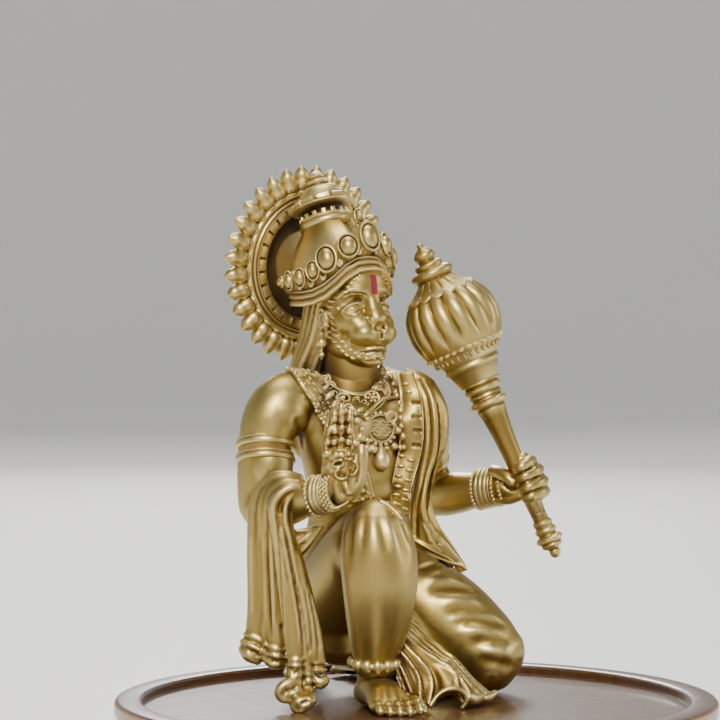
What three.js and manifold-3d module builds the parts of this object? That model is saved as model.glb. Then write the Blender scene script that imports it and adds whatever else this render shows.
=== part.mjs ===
// Kneeling monkey-faced guardian with a mace, a beaded halo and a scarf over one arm, cast in one piece,
// standing on a turned wooden plinth with a raised rim. Millimetres, +Z up, the figure faces -Y.
// The origin is the centre of the plinth's underside.
import * as THREE from "three";
import { mergeVertices } from "three/addons/utils/BufferGeometryUtils.js";
import Module from "manifold-3d";

// Driving dimensions, in millimetres
const figureHeight = 109; // plinth floor to the highest tip of the halo
const plinthHeight = 13; // underside to the top of the rim
const wellDepth = 2; // rim top down to the floor that the figure stands on
const rimWidth = 5.6; // rim measured from the well to the outside
const wellMargin = 7.1; // floor left clear between the figure's farthest foot and the rim
const footHeight = 3.2; // lowest moulding of the plinth
const coveDepth = 1.8; // how far the plinth's side is turned in between its foot and its rim
const coveEase = 1; // height of the slope from the foot into the cove
const rimHeight = 3; // height of the rim's moulding on the outside
const rimRound = 0.9; // rounding of the rim's outer and inner edges

// Free form: places and sizes below are shares of the figure's height, 101 of them from floor to tip
const share = figureHeight / 101;
const farthestReach = 44; // shares from the plinth's centre to the toes of the folded leg
const plinthFloor = plinthHeight - wellDepth;
const wellRadius = farthestReach * share + wellMargin;
const plinthRadius = wellRadius + rimWidth;

const wasm = await Module();
wasm.setup();

const { PI, cos, sin, min, max, acos, atan2 } = Math;
const vec = (p) => new THREE.Vector3(...p);
const bothSides = (make) => [-1, 1].map(make);

// A closed geometry as a solid, turned so that its faces point out
function toSolid(geometry) {
  const bare = geometry.clone();
  bare.deleteAttribute("normal");
  bare.deleteAttribute("uv");
  const merged = mergeVertices(bare, 1e-4);
  const triVerts = new Uint32Array(merged.index.array);
  const vertProperties = merged.attributes.position.array;
  if (signedVolume(vertProperties, triVerts) < 0) {
    for (let i = 0; i < triVerts.length; i += 3) {
      [triVerts[i + 1], triVerts[i + 2]] = [triVerts[i + 2], triVerts[i + 1]];
    }
  }
  return new wasm.Manifold(new wasm.Mesh({ numProp: 3, vertProperties, triVerts }));
}

function signedVolume(positions, triangles) {
  const corner = (i) => new THREE.Vector3().fromArray(positions, triangles[i] * 3);
  let total = 0;
  for (let i = 0; i < triangles.length; i += 3) {
    total += corner(i).dot(corner(i + 1).cross(corner(i + 2)));
  }
  return total / 6;
}

const joinAll = (solids) => solids.reduce((a, b) => a.add(b));

// Hollows closed off inside a solid are filled, and slivers thinner than a hair are dropped
const withoutHollows = (solid) => joinAll(solid.decompose().filter((shell) => shell.volume() > 0.01));

// An ellipsoid, turned by Euler angles in degrees
function ball(centre, radii, { sides = 6, rings = 4, turn = [0, 0, 0] } = {}) {
  const geometry = new THREE.SphereGeometry(1, sides, rings);
  geometry.rotateX(PI / 2);
  geometry.scale(...radii);
  const angles = turn.map((a) => THREE.MathUtils.degToRad(a));
  geometry.applyMatrix4(new THREE.Matrix4().makeRotationFromEuler(new THREE.Euler(...angles)));
  geometry.translate(...centre);
  return toSolid(geometry);
}

const oval = (angle, width, depth) => [width * cos(angle), depth * sin(angle)];

// A round-ended form drawn along stations [x, y, z, half width, half depth].
// `across` is the direction the width is measured in, and `shape` draws the ring at share t of the length.
function sweep(stations, options = {}) {
  const { sides = 8, rings = 7, across = [1, 0, 0], shape = oval, cap = 0.8, capRings = 1.5 } = options;
  const line = new THREE.CatmullRomCurve3(stations.map((s) => vec(s.slice(0, 3))));
  const sizes = new THREE.CatmullRomCurve3(stations.map((s) => new THREE.Vector3(s[3], s[4] ?? s[3], 0)));
  const geometry = new THREE.SphereGeometry(1, sides, rings);
  const places = geometry.attributes.position;
  const sideways = vec(across);
  for (let i = 0; i < places.count; i++) {
    const ring = (acos(THREE.MathUtils.clamp(places.getY(i), -1, 1)) / PI) * rings;
    const angle = atan2(places.getZ(i), -places.getX(i));
    const fromEnd = min(ring, rings - ring);
    const t = THREE.MathUtils.clamp((ring - capRings) / (rings - 2 * capRings), 0, 1);
    const size = sizes.getPoint(t);
    const along = line.getTangent(t);
    const wide = sideways.clone().addScaledVector(along, -sideways.dot(along)).normalize();
    const deep = along.clone().cross(wide);
    const round = fromEnd < capRings ? sin((fromEnd / capRings) * (PI / 2)) : 1;
    const lift = fromEnd < capRings ? cos((fromEnd / capRings) * (PI / 2)) * cap * min(size.x, size.y) : 0;
    const [u, v] = shape(angle, size.x, size.y, t);
    const place = line.getPoint(t);
    place.addScaledVector(wide, u * round).addScaledVector(deep, v * round);
    place.addScaledVector(along, ring < rings / 2 ? -lift : lift);
    places.setXYZ(i, place.x, place.y, place.z);
  }
  return toSolid(geometry);
}

// A turned form: profile points [distance along the axis, radius], from `from` towards `to`
function turned(profile, from, to, { segments = 8, start = 0, rib = () => 1 } = {}) {
  const geometry = new THREE.LatheGeometry(profile.map(([s, r]) => new THREE.Vector2(r, s)), segments, start);
  const places = geometry.attributes.position;
  for (let i = 0; i < places.count; i++) {
    const k = rib(atan2(places.getZ(i), places.getX(i)));
    places.setX(i, places.getX(i) * k);
    places.setZ(i, places.getZ(i) * k);
  }
  const axis = vec(to).sub(vec(from)).normalize();
  geometry.applyQuaternion(new THREE.Quaternion().setFromUnitVectors(new THREE.Vector3(0, 1, 0), axis));
  geometry.translate(...from);
  return toSolid(geometry);
}

// Ring shape of a thin pleated strip, whose middle line waves `folds` times across the width
function pleats(folds, depthAt) {
  return (angle, width, depth, t) => {
    const across = cos(angle);
    return [width * across, depth * sin(angle) * 1.2 + depthAt(t) * sin(folds * PI * across)];
  };
}

function body() {
  return sweep([
    [4, 23, 12, 11, 10], [3.6, 22.5, 19, 12.4, 11], [2.8, 21.4, 28, 11, 9.8], [2, 20.2, 36, 9.8, 8.8],
    [1.6, 20.2, 43, 10.8, 9], [1.6, 20.6, 50, 13, 9.6], [1.8, 21.8, 55, 12.6, 8.2], [1.4, 22, 58.6, 8, 6.2],
    [1.2, 21.6, 62, 5.4, 5.2], [0.9, 21, 67, 5, 5.2],
  ], { sides: 11, rings: 10 });
}

function rightArm() {
  const upper = sweep([
    [-9, 22.4, 57.4, 4.6], [-14, 22.9, 56.6, 5.4], [-16.8, 23.2, 52.8, 5.3], [-17.6, 23.8, 47.6, 4.9],
    [-17.6, 24.4, 41.6, 4.8], [-17.4, 24.8, 36.6, 4.6],
  ], { rings: 7, across: [0, 1, 0] });
  const fore = sweep([
    [-17.4, 24.8, 36.2, 4.4], [-18.2, 17, 37, 4], [-18.2, 10, 38.8, 3.3], [-17.8, 4.6, 40, 2.7],
  ], { rings: 6 });
  const bands = [[-17.6, 23.7, 49.1], [-17.6, 24, 46.6]].map((centre) => {
    const below = vec(centre).add(vec([0, 0.1, -1]));
    return turned([[-0.7, 0], [-0.7, 5.3], [0, 5.7], [0.7, 5.3], [0.7, 0]], centre, below.toArray());
  });
  return joinAll([upper, fore, ...bands]);
}

function leftArm() {
  const upper = sweep([
    [11, 22.4, 56.6, 5], [17.6, 23, 54.6, 5.6], [20.6, 24.6, 50.4, 5.6], [22.8, 27, 44.4, 5],
    [25.4, 30, 38.4, 4.7], [26.4, 31, 36.4, 4.4],
  ], { rings: 7, across: [0, 1, 0] });
  const fore = sweep([
    [26.4, 31.4, 36.4, 4.2], [27.2, 24.4, 36.8, 4.3], [28, 18, 37.8, 3.6], [28.6, 12.8, 38.6, 2.9],
  ], { rings: 6 });
  return joinAll([upper, fore]);
}

// Open hand raised with the palm forward
function raisedHand() {
  const palmSide = [0.87, -0.49, 0];
  const root = [-15.7, 1.6];
  const palm = sweep([
    [-17.2, 4.2, 38.6, 2.5, 2.2], [-16.4, 2.6, 41, 3.3, 2], [root[0], root[1], 45, 3.5, 1.7],
    [root[0], root[1], 48.2, 3.6, 1.4],
  ], { rings: 6, across: palmSide });
  const tips = [53.6, 56, 56.6, 55.2];
  const fingers = tips.map((tip, i) => {
    const offset = (i - 1.5) * 1.8;
    const x = root[0] + palmSide[0] * offset;
    const y = root[1] + palmSide[1] * offset;
    return sweep([[x, y + 0.1, 47, 0.88], [x, y, tip - 0.8, 0.8]], { sides: 5, rings: 3, capRings: 1 });
  });
  const thumb = sweep([
    [-14.2, 2, 42, 1.5], [-12.8, 0.6, 45, 1.3], [-12.6, 0.3, 47.4, 1],
  ], { sides: 5, rings: 4, capRings: 1 });
  return joinAll([palm, ...fingers, thumb]);
}

const pommel = [35.2, 1, 25.9];
const finial = [14.7, 17.6, 85.4];

// Mace with a ribbed head, turned rings below it and a bud at each end
function mace() {
  const ribs = 11;
  const handle = turned([
    [0, 0], [0.9, 0.95], [2, 0.8], [3.1, 2.4], [4.6, 1.4], [5.4, 2], [6.6, 1.3], [21.4, 1.8], [30.2, 2.4],
    [32.6, 3.7], [34, 2.7], [35.4, 3.6], [37, 2.7], [39.6, 3.9], [39.6, 0],
  ], pommel, finial);
  const above = vec(pommel).lerp(vec(finial), 0.6).toArray();
  const head = turned([
    [0, 0], [0, 4], [1.4, 4.4], [4.8, 6.6], [7, 8.3], [10, 9.2], [13.6, 8], [16.8, 4.6], [16.8, 0],
  ], above, finial, { segments: ribs * 2, rib: (angle) => 1 + 0.045 * cos(ribs * angle) });
  const bud = turned([
    [16, 0], [16, 4.4], [19, 2.2], [20, 4.1], [21.4, 2], [22.6, 1.7], [23.6, 2.1], [24.6, 1], [26.1, 0],
  ], above, finial);
  return joinAll([handle, head, bud]);
}

// Fist closed round the mace's handle
function grippingHand() {
  const axis = vec(finial).sub(vec(pommel)).normalize();
  const onHandle = (s) => vec(pommel).addScaledVector(axis, s);
  const wrist = vec([28.6, 12.8, 38.6]);
  const outward = onHandle(16.2).sub(wrist);
  outward.addScaledVector(axis, -outward.dot(axis)).normalize();
  const forward = axis.clone().cross(outward).normalize();
  const knuckles = onHandle(16.2).addScaledVector(forward, 1.2).addScaledVector(outward, -0.6);
  const palm = sweep([
    [...wrist.toArray(), 2.8], [...knuckles.toArray(), 2.4, 3.9],
  ], { rings: 5, across: forward.toArray() });
  const fingers = [12.6, 14.7, 16.8, 18.9].map((s) => {
    const stations = [-0.15, 0.2, 0.55, 0.9].map((turn) => {
      const place = onHandle(s).addScaledVector(outward, 2.9 * sin(turn * PI));
      place.addScaledVector(forward, 2.8 * cos(turn * PI));
      return [...place.toArray(), 1.02];
    });
    return sweep(stations, { sides: 5, rings: 4, across: axis.toArray(), capRings: 1 });
  });
  const thumbRoot = onHandle(17.6).addScaledVector(outward, -2.6).addScaledVector(forward, 0.4);
  const thumbTip = onHandle(14.4).addScaledVector(outward, -1.6).addScaledVector(forward, -2.4);
  const thumb = sweep([
    [...thumbRoot.toArray(), 1.4], [...thumbTip.toArray(), 1.1],
  ], { sides: 5, rings: 3, across: axis.toArray(), capRings: 1 });
  return joinAll([palm, ...fingers, thumb]);
}

// Bent leg in front, its cloth gathered into long flutes below the knee
function standingLeg() {
  const flutes = (angle, width, depth, t) => {
    const k = 1 + 0.03 * sin(7 * angle) * sin(PI * min(1, t * 1.3));
    return [width * k * cos(angle), depth * k * sin(angle)];
  };
  const thigh = sweep([
    [-1, 22, 18.6, 9, 9], [-3.6, 13, 24.6, 8.8, 9], [-6.4, 5.4, 29.6, 7.4, 8], [-7.6, 1.8, 32.6, 6.2, 6.2],
  ], { rings: 6 });
  const shin = sweep([
    [-7.9, 1.6, 33.6, 6, 5.8], [-8, 0.8, 28, 7.3, 6.8], [-7.9, 0.8, 22.4, 7.1, 6.8],
    [-7.6, 1.6, 15.6, 6, 5.8], [-7.3, 2.6, 9.8, 4.5, 4.4], [-7.1, 3, 7.6, 4.1, 4.1],
  ], { sides: 14, rings: 7, shape: flutes, cap: 0.5 });
  const ankle = sweep([[-7.1, 3, 9, 3.2], [-7.1, 3.4, 3.6, 3]], { rings: 3, capRings: 1 });
  const foot = sweep([
    [-6.4, 6.4, 2.6, 2.8, 2.6], [-7.4, 2.8, 3.4, 3.2, 3.2], [-8.9, -2, 2.6, 3.7, 2.5],
    [-11, -8, 1.4, 4.4, 1.4],
  ], { rings: 6, across: [0.96, -0.3, 0] });
  const toes = [0, 1, 2, 3, 4].map((i) => {
    const offset = (i - 2) * 1.85;
    const reach = [1.9, 1.6, 1.2, 0.6, -0.1][i];
    const root = [-11.2 - 0.96 * offset, -8.4 + 0.3 * offset];
    return sweep([
      [root[0], root[1], 1.2, 0.9], [root[0] - 0.3 * reach, root[1] - 0.96 * reach, 1, 0.85],
    ], { sides: 4, rings: 3, capRings: 1 });
  });
  return joinAll([thigh, shin, ankle, foot, ...toes, anklet()]);
}

// Ring round the ankle
function anklet() {
  const profile = [[-0.9, 0], [-0.9, 4.2], [0, 5.1], [0.9, 4.3], [0.9, 0]];
  return turned(profile, [-7, 3, 7.6], [-6.9, 2.75, 8.6], { segments: 12 });
}

// Folded leg: the thigh goes down to the knee on the floor, with folds across it, and the shin lies behind
function kneelingLeg() {
  const creases = (angle, width, depth, t) => {
    const k = 1 + 0.05 * sin(2 * PI * (4 * t + 0.2 * cos(angle))) * max(0, sin(PI * min(1, t * 1.15)));
    return [width * k * cos(angle), depth * k * sin(angle)];
  };
  const thigh = sweep([
    [8, 25, 19, 9.8, 9.8], [12.6, 18.8, 17.4, 10, 9.8], [17, 12.6, 13.6, 9.4, 9.2],
    [20.6, 7.4, 9.4, 8.1, 7.9], [22.6, 4.8, 6.8, 6.9, 6.8],
  ], { sides: 10, rings: 10, shape: creases });
  const shin = sweep([
    [22.4, 5.4, 6.4, 6.2], [20.6, 16, 5.4, 5.4], [18, 28, 4.2, 4.2], [17, 34, 3.3, 2.8],
  ], { rings: 5 });
  const foot = sweep([
    [17, 32.6, 3.6, 2.7, 2.6], [16.6, 36.6, 3.6, 3, 3.2], [16.2, 41.4, 1.6, 3.4, 1.4],
  ], { rings: 5 });
  return joinAll([thigh, shin, foot]);
}

// Skull, monkey muzzle, brow, ears and the long hair behind
function head() {
  const middle = 0.8;
  const forms = [
    ball([middle, 20.2, 72.6], [6.2, 6.8, 8.2], { sides: 12, rings: 7 }),
    ball([middle, 15.4, 68.8], [4, 3.2, 3], { sides: 8 }),
    ball([middle, 16.8, 65.4], [4, 3.6, 2.8], { sides: 8 }),
    sweep([
      [middle, 14.6, 75.6, 0.8], [middle, 13.6, 73, 0.9], [middle, 12.9, 71.2, 1.3, 1],
    ], { sides: 5, rings: 4, capRings: 1 }),
    ...bothSides((side) => ball([middle + side * 2.1, 13.4, 68.7], [2.3, 2.1, 1.8], { sides: 7 })),
    ...bothSides((side) => {
      return ball([middle + side * 2.9, 14.5, 76], [2.4, 0.9, 0.6], { turn: [0, side * 8, 0] });
    }),
    ...bothSides((side) => ball([middle + side * 6.1, 20.6, 71.2], [1, 1.7, 2.3])),
  ];
  const strands = (angle, width, depth) => {
    const k = 1 + 0.06 * cos(7 * angle);
    return [width * k * cos(angle), depth * k * sin(angle)];
  };
  const hair = sweep([
    [middle, 24.6, 74, 7, 6.6], [middle, 26.6, 68, 7.6, 5.4], [middle, 28.6, 62, 9, 4.4],
    [1, 30, 54, 9.4, 3.4], [1, 30, 47, 7.6, 2.4],
  ], { sides: 14, rings: 5, shape: strands });
  return joinAll([...forms, hair]);
}

const crownCentre = [0.7, 23.9, 79.4];
const crownLean = 20; // degrees back from upright
const crownSlip = 0.13; // further drift back for each share of height
const crownDepth = 1.14; // front to back against side to side

// A geometry drawn round the crown's own axis, +Y along it and +Z to the front, put in place
function onCrown(geometry) {
  const places = geometry.attributes.position;
  for (let i = 0; i < places.count; i++) {
    const along = places.getY(i);
    const low = THREE.MathUtils.clamp((6 - along) / 4, 0, 1);
    const turn = atan2(places.getX(i), places.getZ(i));
    places.setY(i, along + 1.3 * low * cos(2 * turn));
    places.setZ(i, places.getZ(i) * (1 + (crownDepth - 1) * low) - crownSlip * max(0, along));
  }
  geometry.rotateX(PI / 2 - THREE.MathUtils.degToRad(crownLean));
  geometry.translate(...crownCentre);
  return toSolid(geometry);
}

// Tall crown with a jewelled brow band, a flange and a knob
function crown() {
  const profile = [
    [-2.2, 0], [-2.2, 9.6], [-1, 9.6], [0, 10.1], [3, 9.4], [6, 7.8], [9.4, 5], [10.8, 4.9], [11.4, 3.8],
    [13.8, 3.9], [14.3, 5.6], [15.8, 5.7], [16.4, 4.2], [18.4, 2.8], [19.2, 1.8], [20.6, 2], [21.8, 0],
  ].map(([s, r]) => new THREE.Vector2(r, s));
  const bell = onCrown(new THREE.LatheGeometry(profile, 14));
  // Each gem: angle from the front, height of its middle, half height, half width
  const middleGem = [0, 2.8, 2.8, 1.9];
  const sideGems = [
    [0.52, 2.6, 2.3, 1.7], [0.94, 2.1, 2.2, 1.6], [1.2, 0.8, 1.1, 1.1], [1.45, 0.7, 1.1, 1],
    [1.72, 0.9, 1.1, 1], [2, 1, 1, 1],
  ];
  const mirrored = sideGems.map(([angle, ...sizes]) => [-angle, ...sizes]);
  const gems = [middleGem, ...sideGems, ...mirrored].map(([angle, along, tall, wide]) => {
    const form = tall > 2 ? new THREE.SphereGeometry(1, 6, 4) : new THREE.SphereGeometry(1, 5, 3);
    return onCrown(form.scale(wide, tall, 1.3).translate(0, along, 9.5).rotateY(angle));
  });
  const crest = onCrown(new THREE.SphereGeometry(1, 6, 4).scale(1.4, 2, 1.2).translate(0, 9, 5.6));
  return joinAll([bell, ...gems, crest]);
}

const haloCentre = [1.1, 36.2, 81.6];
const haloTilt = 4.5; // degrees that its top leans forward
const haloPhase = 0.27; // share of a bead's pitch that the row is turned by

// Dished plate with a double rim and a row of pointed beads round it
function halo() {
  const tilt = THREE.MathUtils.degToRad(haloTilt);
  const beads = 32;
  const front = [haloCentre[0], haloCentre[1] - cos(tilt), haloCentre[2] - sin(tilt)];
  const pitch = (2 * PI) / beads;
  const ring = turned([
    [-1.5, 0], [-1.5, 13.3], [1, 13.3], [1.5, 12], [0.9, 10.8], [1.6, 10.2], [1.6, 8.8],
    [-0.4, 8.4], [-0.5, 0],
  ], haloCentre, front, { segments: beads, start: (0.5 - haloPhase) * pitch });
  const bead = [[12, 0.5], [16.4, 1.6], [19.3, 0]];
  const tips = Array.from({ length: beads }, (_, i) => {
    const angle = (i + haloPhase) * pitch;
    const out = new THREE.Vector3(sin(angle), 0, cos(angle)).applyAxisAngle(new THREE.Vector3(1, 0, 0), tilt);
    return turned([[12, 0], ...bead], haloCentre, vec(haloCentre).add(out).toArray(), { segments: 4 });
  });
  return joinAll([ring, ...tips]);
}

// Patterned stole round the neck and down both sides of the chest, and the plain fold beside it
function stole() {
  const right = sweep([
    [-3, 29, 61, 2.4, 1], [-9, 25.4, 60.8, 2.5, 1.1], [-10, 18.6, 58, 2.5, 1.1], [-8, 13.6, 53.4, 2.4, 1],
    [-6.4, 11.4, 48, 2.3, 1], [-5.4, 11, 41, 2.2, 0.9],
  ], { sides: 6, across: [-1, -0.4, 0] });
  const left = sweep([
    [5, 29, 61, 2.4, 1], [10.4, 25.4, 60.4, 2.5, 1.1], [11.4, 18.4, 57.6, 2.5, 1.1],
    [10.4, 13.6, 52.6, 2.4, 1], [9.4, 11.8, 47, 2.3, 1], [8.2, 11.8, 41, 2.2, 0.9], [7, 12, 35, 2, 0.9],
  ], { sides: 6, across: [1, -0.4, 0] });
  const shoulder = sweep([
    [7, 30, 58, 3.2, 1.4], [13, 26, 60, 3.8, 1.5], [16.2, 19.6, 57, 3.8, 1.5], [15.6, 15.8, 50, 3.2, 1.4],
    [13.6, 15.4, 42, 2.8, 1.4], [12.6, 16, 35, 3, 1.4], [15.4, 15.4, 27.4, 4.6, 1.4],
  ], { rings: 8, across: [1, 0.3, 0.2], shape: pleats(1.5, () => 0.5) });
  return joinAll([right, left, shoulder]);
}

function necklace() {
  const collar = turned([
    [-1, 0], [-1, 6.6], [0, 7.6], [1, 6.6], [1, 0],
  ], [1.2, 20, 58.4], [1.2, 19.5, 59.3], { segments: 20 });
  const medallion = turned([
    [-1, 0], [-1, 2.6], [0.4, 2.6], [1, 1.8], [1, 0],
  ], [1.4, 12.4, 50], [1.4, 11.4, 50.1], { segments: 10 });
  const pendant = ball([1.6, 11.6, 45.4], [1.4, 1.2, 1.7]);
  return joinAll([collar, medallion, pendant]);
}

// Scarf laid over the raised forearm, its ends hanging in pleats nearly to the floor
function armScarf() {
  const outer = sweep([
    [-14.6, 15.4, 38.6, 3.6, 0.9], [-17, 14.8, 41.2, 3.8, 0.9], [-20, 15, 39.6, 4, 0.9],
    [-21.4, 15.2, 33, 4.2, 0.9], [-21.6, 14.8, 24, 4.8, 0.9], [-21.6, 13.6, 15, 5.6, 0.9],
    [-22, 13, 9.2, 6.4, 0.9],
  ], { sides: 14, rings: 8, across: [0.5, -0.87, 0], shape: pleats(3.5, (t) => 0.35 + 0.65 * t), cap: 0.5 });
  const inner = sweep([
    [-17.8, 12.6, 40.6, 2.2, 0.9], [-19.4, 12, 37.4, 2.4, 0.9], [-19.4, 11.4, 30, 2.6, 0.9],
    [-19.4, 9.4, 18, 3.6, 0.9], [-19, 7.4, 6.4, 4.4, 0.9], [-20, 8, 1.4, 2, 0.7],
  ], { sides: 12, rings: 7, across: [0.6, -0.8, 0], shape: pleats(2, (t) => 0.3 + 0.6 * t), cap: 0.5 });
  return joinAll([outer, inner]);
}

// Front end of the lower garment, spread over the floor between the legs
function apron() {
  return sweep([
    [4.6, 11, 19, 2.4, 1.6], [6, 6.6, 12.6, 4.4, 1.4], [8, 2.8, 6, 7.4, 1.2], [9, -0.4, 1.8, 10.2, 1],
  ], { sides: 18, rings: 7, across: [0.95, 0.32, 0], shape: pleats(3.5, (t) => 0.3 + 0.8 * t), cap: 0.5 });
}

// Short tail curled on the floor behind
function tail() {
  return sweep([
    [5, 31, 15, 2.2], [6.4, 38, 10.5, 2], [6.6, 42, 4.6, 1.9], [3.6, 42.6, 2, 1.8], [0.4, 39, 1.8, 1.7],
    [0.6, 33.6, 1.9, 1.6],
  ], { sides: 6, rings: 9, across: [0, 0, 1] });
}

// Everything below the floor line is cut away so that the figure stands flat
function belowFloor() {
  const depth = 20;
  return toSolid(new THREE.BoxGeometry(200, 200, depth).translate(0, 0, -depth / 2));
}

function figureMesh() {
  const solid = withoutHollows(joinAll([
    body(), rightArm(), leftArm(), raisedHand(), mace(), grippingHand(), standingLeg(), kneelingLeg(),
    head(), crown(), halo(), stole(), necklace(), armScarf(), apron(), tail(),
  ]).subtract(belowFloor()));
  const geometry = toGeometry(solid);
  geometry.scale(share, share, share);
  const gold = new THREE.MeshStandardMaterial({ color: 0xb08d4c, metalness: 0.9, roughness: 0.4 });
  const mesh = new THREE.Mesh(geometry, gold);
  mesh.name = "figure";
  mesh.position.z = plinthFloor;
  return mesh;
}

function toGeometry(solid) {
  const mesh = solid.getMesh();
  const geometry = new THREE.BufferGeometry();
  geometry.setAttribute("position", new THREE.BufferAttribute(new Float32Array(mesh.vertProperties), 3));
  geometry.setIndex(new THREE.BufferAttribute(new Uint32Array(mesh.triVerts), 1));
  geometry.computeVertexNormals();
  return geometry;
}

function plinthMesh() {
  const round = min(rimRound, wellDepth / 2, rimWidth / 3);
  const coveRadius = plinthRadius - coveDepth;
  const profile = [
    [0, 0], [plinthRadius, 0], [plinthRadius, footHeight], [coveRadius, footHeight + coveEase],
    [coveRadius, plinthHeight - rimHeight], [plinthRadius, plinthHeight - rimHeight / 2],
    [plinthRadius, plinthHeight - round], [plinthRadius - round, plinthHeight],
    [wellRadius + round, plinthHeight], [wellRadius, plinthHeight - round],
    [wellRadius, plinthFloor], [0, plinthFloor],
  ].map(([r, z]) => new THREE.Vector2(r, z));
  const geometry = toGeometry(toSolid(new THREE.LatheGeometry(profile, 32).rotateX(PI / 2)));
  const wood = new THREE.MeshStandardMaterial({ color: 0x2c1a10, metalness: 0, roughness: 0.45 });
  const mesh = new THREE.Mesh(geometry, wood);
  mesh.name = "plinth";
  return mesh;
}

const kneelingGuardian = new THREE.Group();
kneelingGuardian.add(plinthMesh(), figureMesh());

export default kneelingGuardian;
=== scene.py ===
# Looks of a small cast guardian figure: kneeling, mace in hand, beaded halo, on a turned wooden plinth
import bpy
import numpy as np
from itertools import product
from math import atan2, cos, pi, radians, sin, sqrt
from mathutils import Matrix, Vector
from mathutils.bvhtree import BVHTree


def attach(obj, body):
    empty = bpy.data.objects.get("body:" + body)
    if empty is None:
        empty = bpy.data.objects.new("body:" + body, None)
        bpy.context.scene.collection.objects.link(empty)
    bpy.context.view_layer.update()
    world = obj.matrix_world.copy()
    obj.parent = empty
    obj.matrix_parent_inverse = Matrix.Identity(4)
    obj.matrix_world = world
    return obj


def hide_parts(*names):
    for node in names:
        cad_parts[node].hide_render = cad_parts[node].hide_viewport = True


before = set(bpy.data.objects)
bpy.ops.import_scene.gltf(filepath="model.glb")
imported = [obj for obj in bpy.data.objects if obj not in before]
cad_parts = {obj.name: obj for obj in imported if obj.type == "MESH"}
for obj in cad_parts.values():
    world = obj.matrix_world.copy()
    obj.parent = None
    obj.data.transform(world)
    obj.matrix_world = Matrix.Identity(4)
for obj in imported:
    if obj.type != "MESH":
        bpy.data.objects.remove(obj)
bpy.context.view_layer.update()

share = 0.109 / 101  # metres in one share of the figure's height; all shapes are drawn in shares
floorHeight = 0.011  # top of the plinth's floor, where the shares start
middle = 0.85  # the figure's own middle line, sideways

cameraSettings = {
    "azimuth": -37.0, "elevation": 1.4, "distance": 0.6, "pixelsPerMetre": 5000.0, "floorPixel": (416, 706),
    "frame": 720, "lens": 150.0, "sensor": 36.0, "near": 0.01, "far": 50.0,
}


def cameraAxes():
    azimuth, elevation = radians(cameraSettings["azimuth"]), radians(cameraSettings["elevation"])
    right = np.array([cos(azimuth), sin(azimuth), 0])
    back = np.array([sin(azimuth) * cos(elevation), -cos(azimuth) * cos(elevation), sin(elevation)])
    return right, np.cross(back, right), back


cameraRight, cameraUp, cameraBack = cameraAxes()
half = cameraSettings["frame"] / 2
scaleAtFloor = cameraSettings["pixelsPerMetre"]
focal = scaleAtFloor * cameraSettings["distance"]  # in pixels
pixelsPerShare = 5.4  # at the figure, rounded
cameraPlace = np.array([0, 0, floorHeight]) + cameraSettings["distance"] * cameraBack
cameraPlace = cameraPlace - (cameraSettings["floorPixel"][0] - half) / scaleAtFloor * cameraRight
cameraPlace = cameraPlace + (cameraSettings["floorPixel"][1] - half) / scaleAtFloor * cameraUp
cameraInShares = (cameraPlace - [0, 0, floorHeight]) / share
towardCamera = np.array([cameraBack[0], cameraBack[1], 0]) / np.hypot(cameraBack[0], cameraBack[1])


def photoRay(column, row):
    ray = -cameraBack + (column - half) / focal * cameraRight - (row - half) / focal * cameraUp
    return ray / np.linalg.norm(ray)


# The point on a pixel's ray that lies `toward` shares in front of the plinth's middle
def pixelPlace(column, row, toward):
    ray = photoRay(column, row)
    reach = (toward - cameraInShares @ towardCamera) / (ray @ towardCamera)
    return cameraInShares + ray * reach


def toPixels(places):
    away = places - cameraInShares
    depth = -(away @ cameraBack)
    return np.stack([half + focal * (away @ cameraRight) / depth, half - focal * (away @ cameraUp) / depth],
        1)


def gathered(items, key, width=1, kind=float):
    values = np.empty(len(items) * width, dtype=kind)
    items.foreach_get(key, values)
    return values.reshape(-1, width) if width > 1 else values


# Forms are (points, face corners, corners per face), drawn in shares
def readForm(thing):
    mesh = thing.data
    return (gathered(mesh.vertices, "co", 3), gathered(mesh.loops, "vertex_index", kind=np.int32),
        gathered(mesh.polygons, "loop_total", kind=np.int32))


def setPoints(thing, points):
    thing.data.vertices.foreach_set("co", points.ravel())
    thing.data.update()


def selectNone():
    bpy.ops.object.select_all(action="DESELECT")


def takeForm(thing):
    form = readForm(thing)
    mesh = thing.data
    bpy.data.objects.remove(thing)
    bpy.data.meshes.remove(mesh)
    return form


def joined(forms):
    offset, points, corners, counts = 0, [], [], []
    for formPoints, formCorners, formCounts in forms:
        points.append(formPoints)
        corners.append(formCorners + offset)
        counts.append(formCounts)
        offset += len(formPoints)
    return np.vstack(points), np.concatenate(corners), np.concatenate(counts)


def makeObject(name, forms):
    points, corners, counts = joined(forms)
    mesh = bpy.data.meshes.new(name)
    mesh.vertices.add(len(points))
    mesh.vertices.foreach_set("co", points.ravel())
    mesh.loops.add(len(corners))
    mesh.loops.foreach_set("vertex_index", corners.astype(np.int32))
    mesh.polygons.add(len(counts))
    mesh.polygons.foreach_set("loop_start", np.concatenate([[0], np.cumsum(counts)[:-1]]).astype(np.int32))
    mesh.update(calc_edges=True)
    thing = bpy.data.objects.new(name, mesh)
    bpy.context.scene.collection.objects.link(thing)
    return thing


def outward(form):
    points, corners, counts = form
    starts = np.concatenate([[0], np.cumsum(counts)[:-1]])
    volume = 0.0
    for step in range(1, counts.max() - 1):
        use = counts > step + 1
        a, b, c = (points[corners[starts[use] + k]] for k in (0, step, step + 1))
        volume += np.einsum("ij,ij->", a, np.cross(b, c))
    return form if volume > 0 else (points, corners[::-1].copy(), counts[::-1].copy())


madePrimitives = {}


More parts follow.
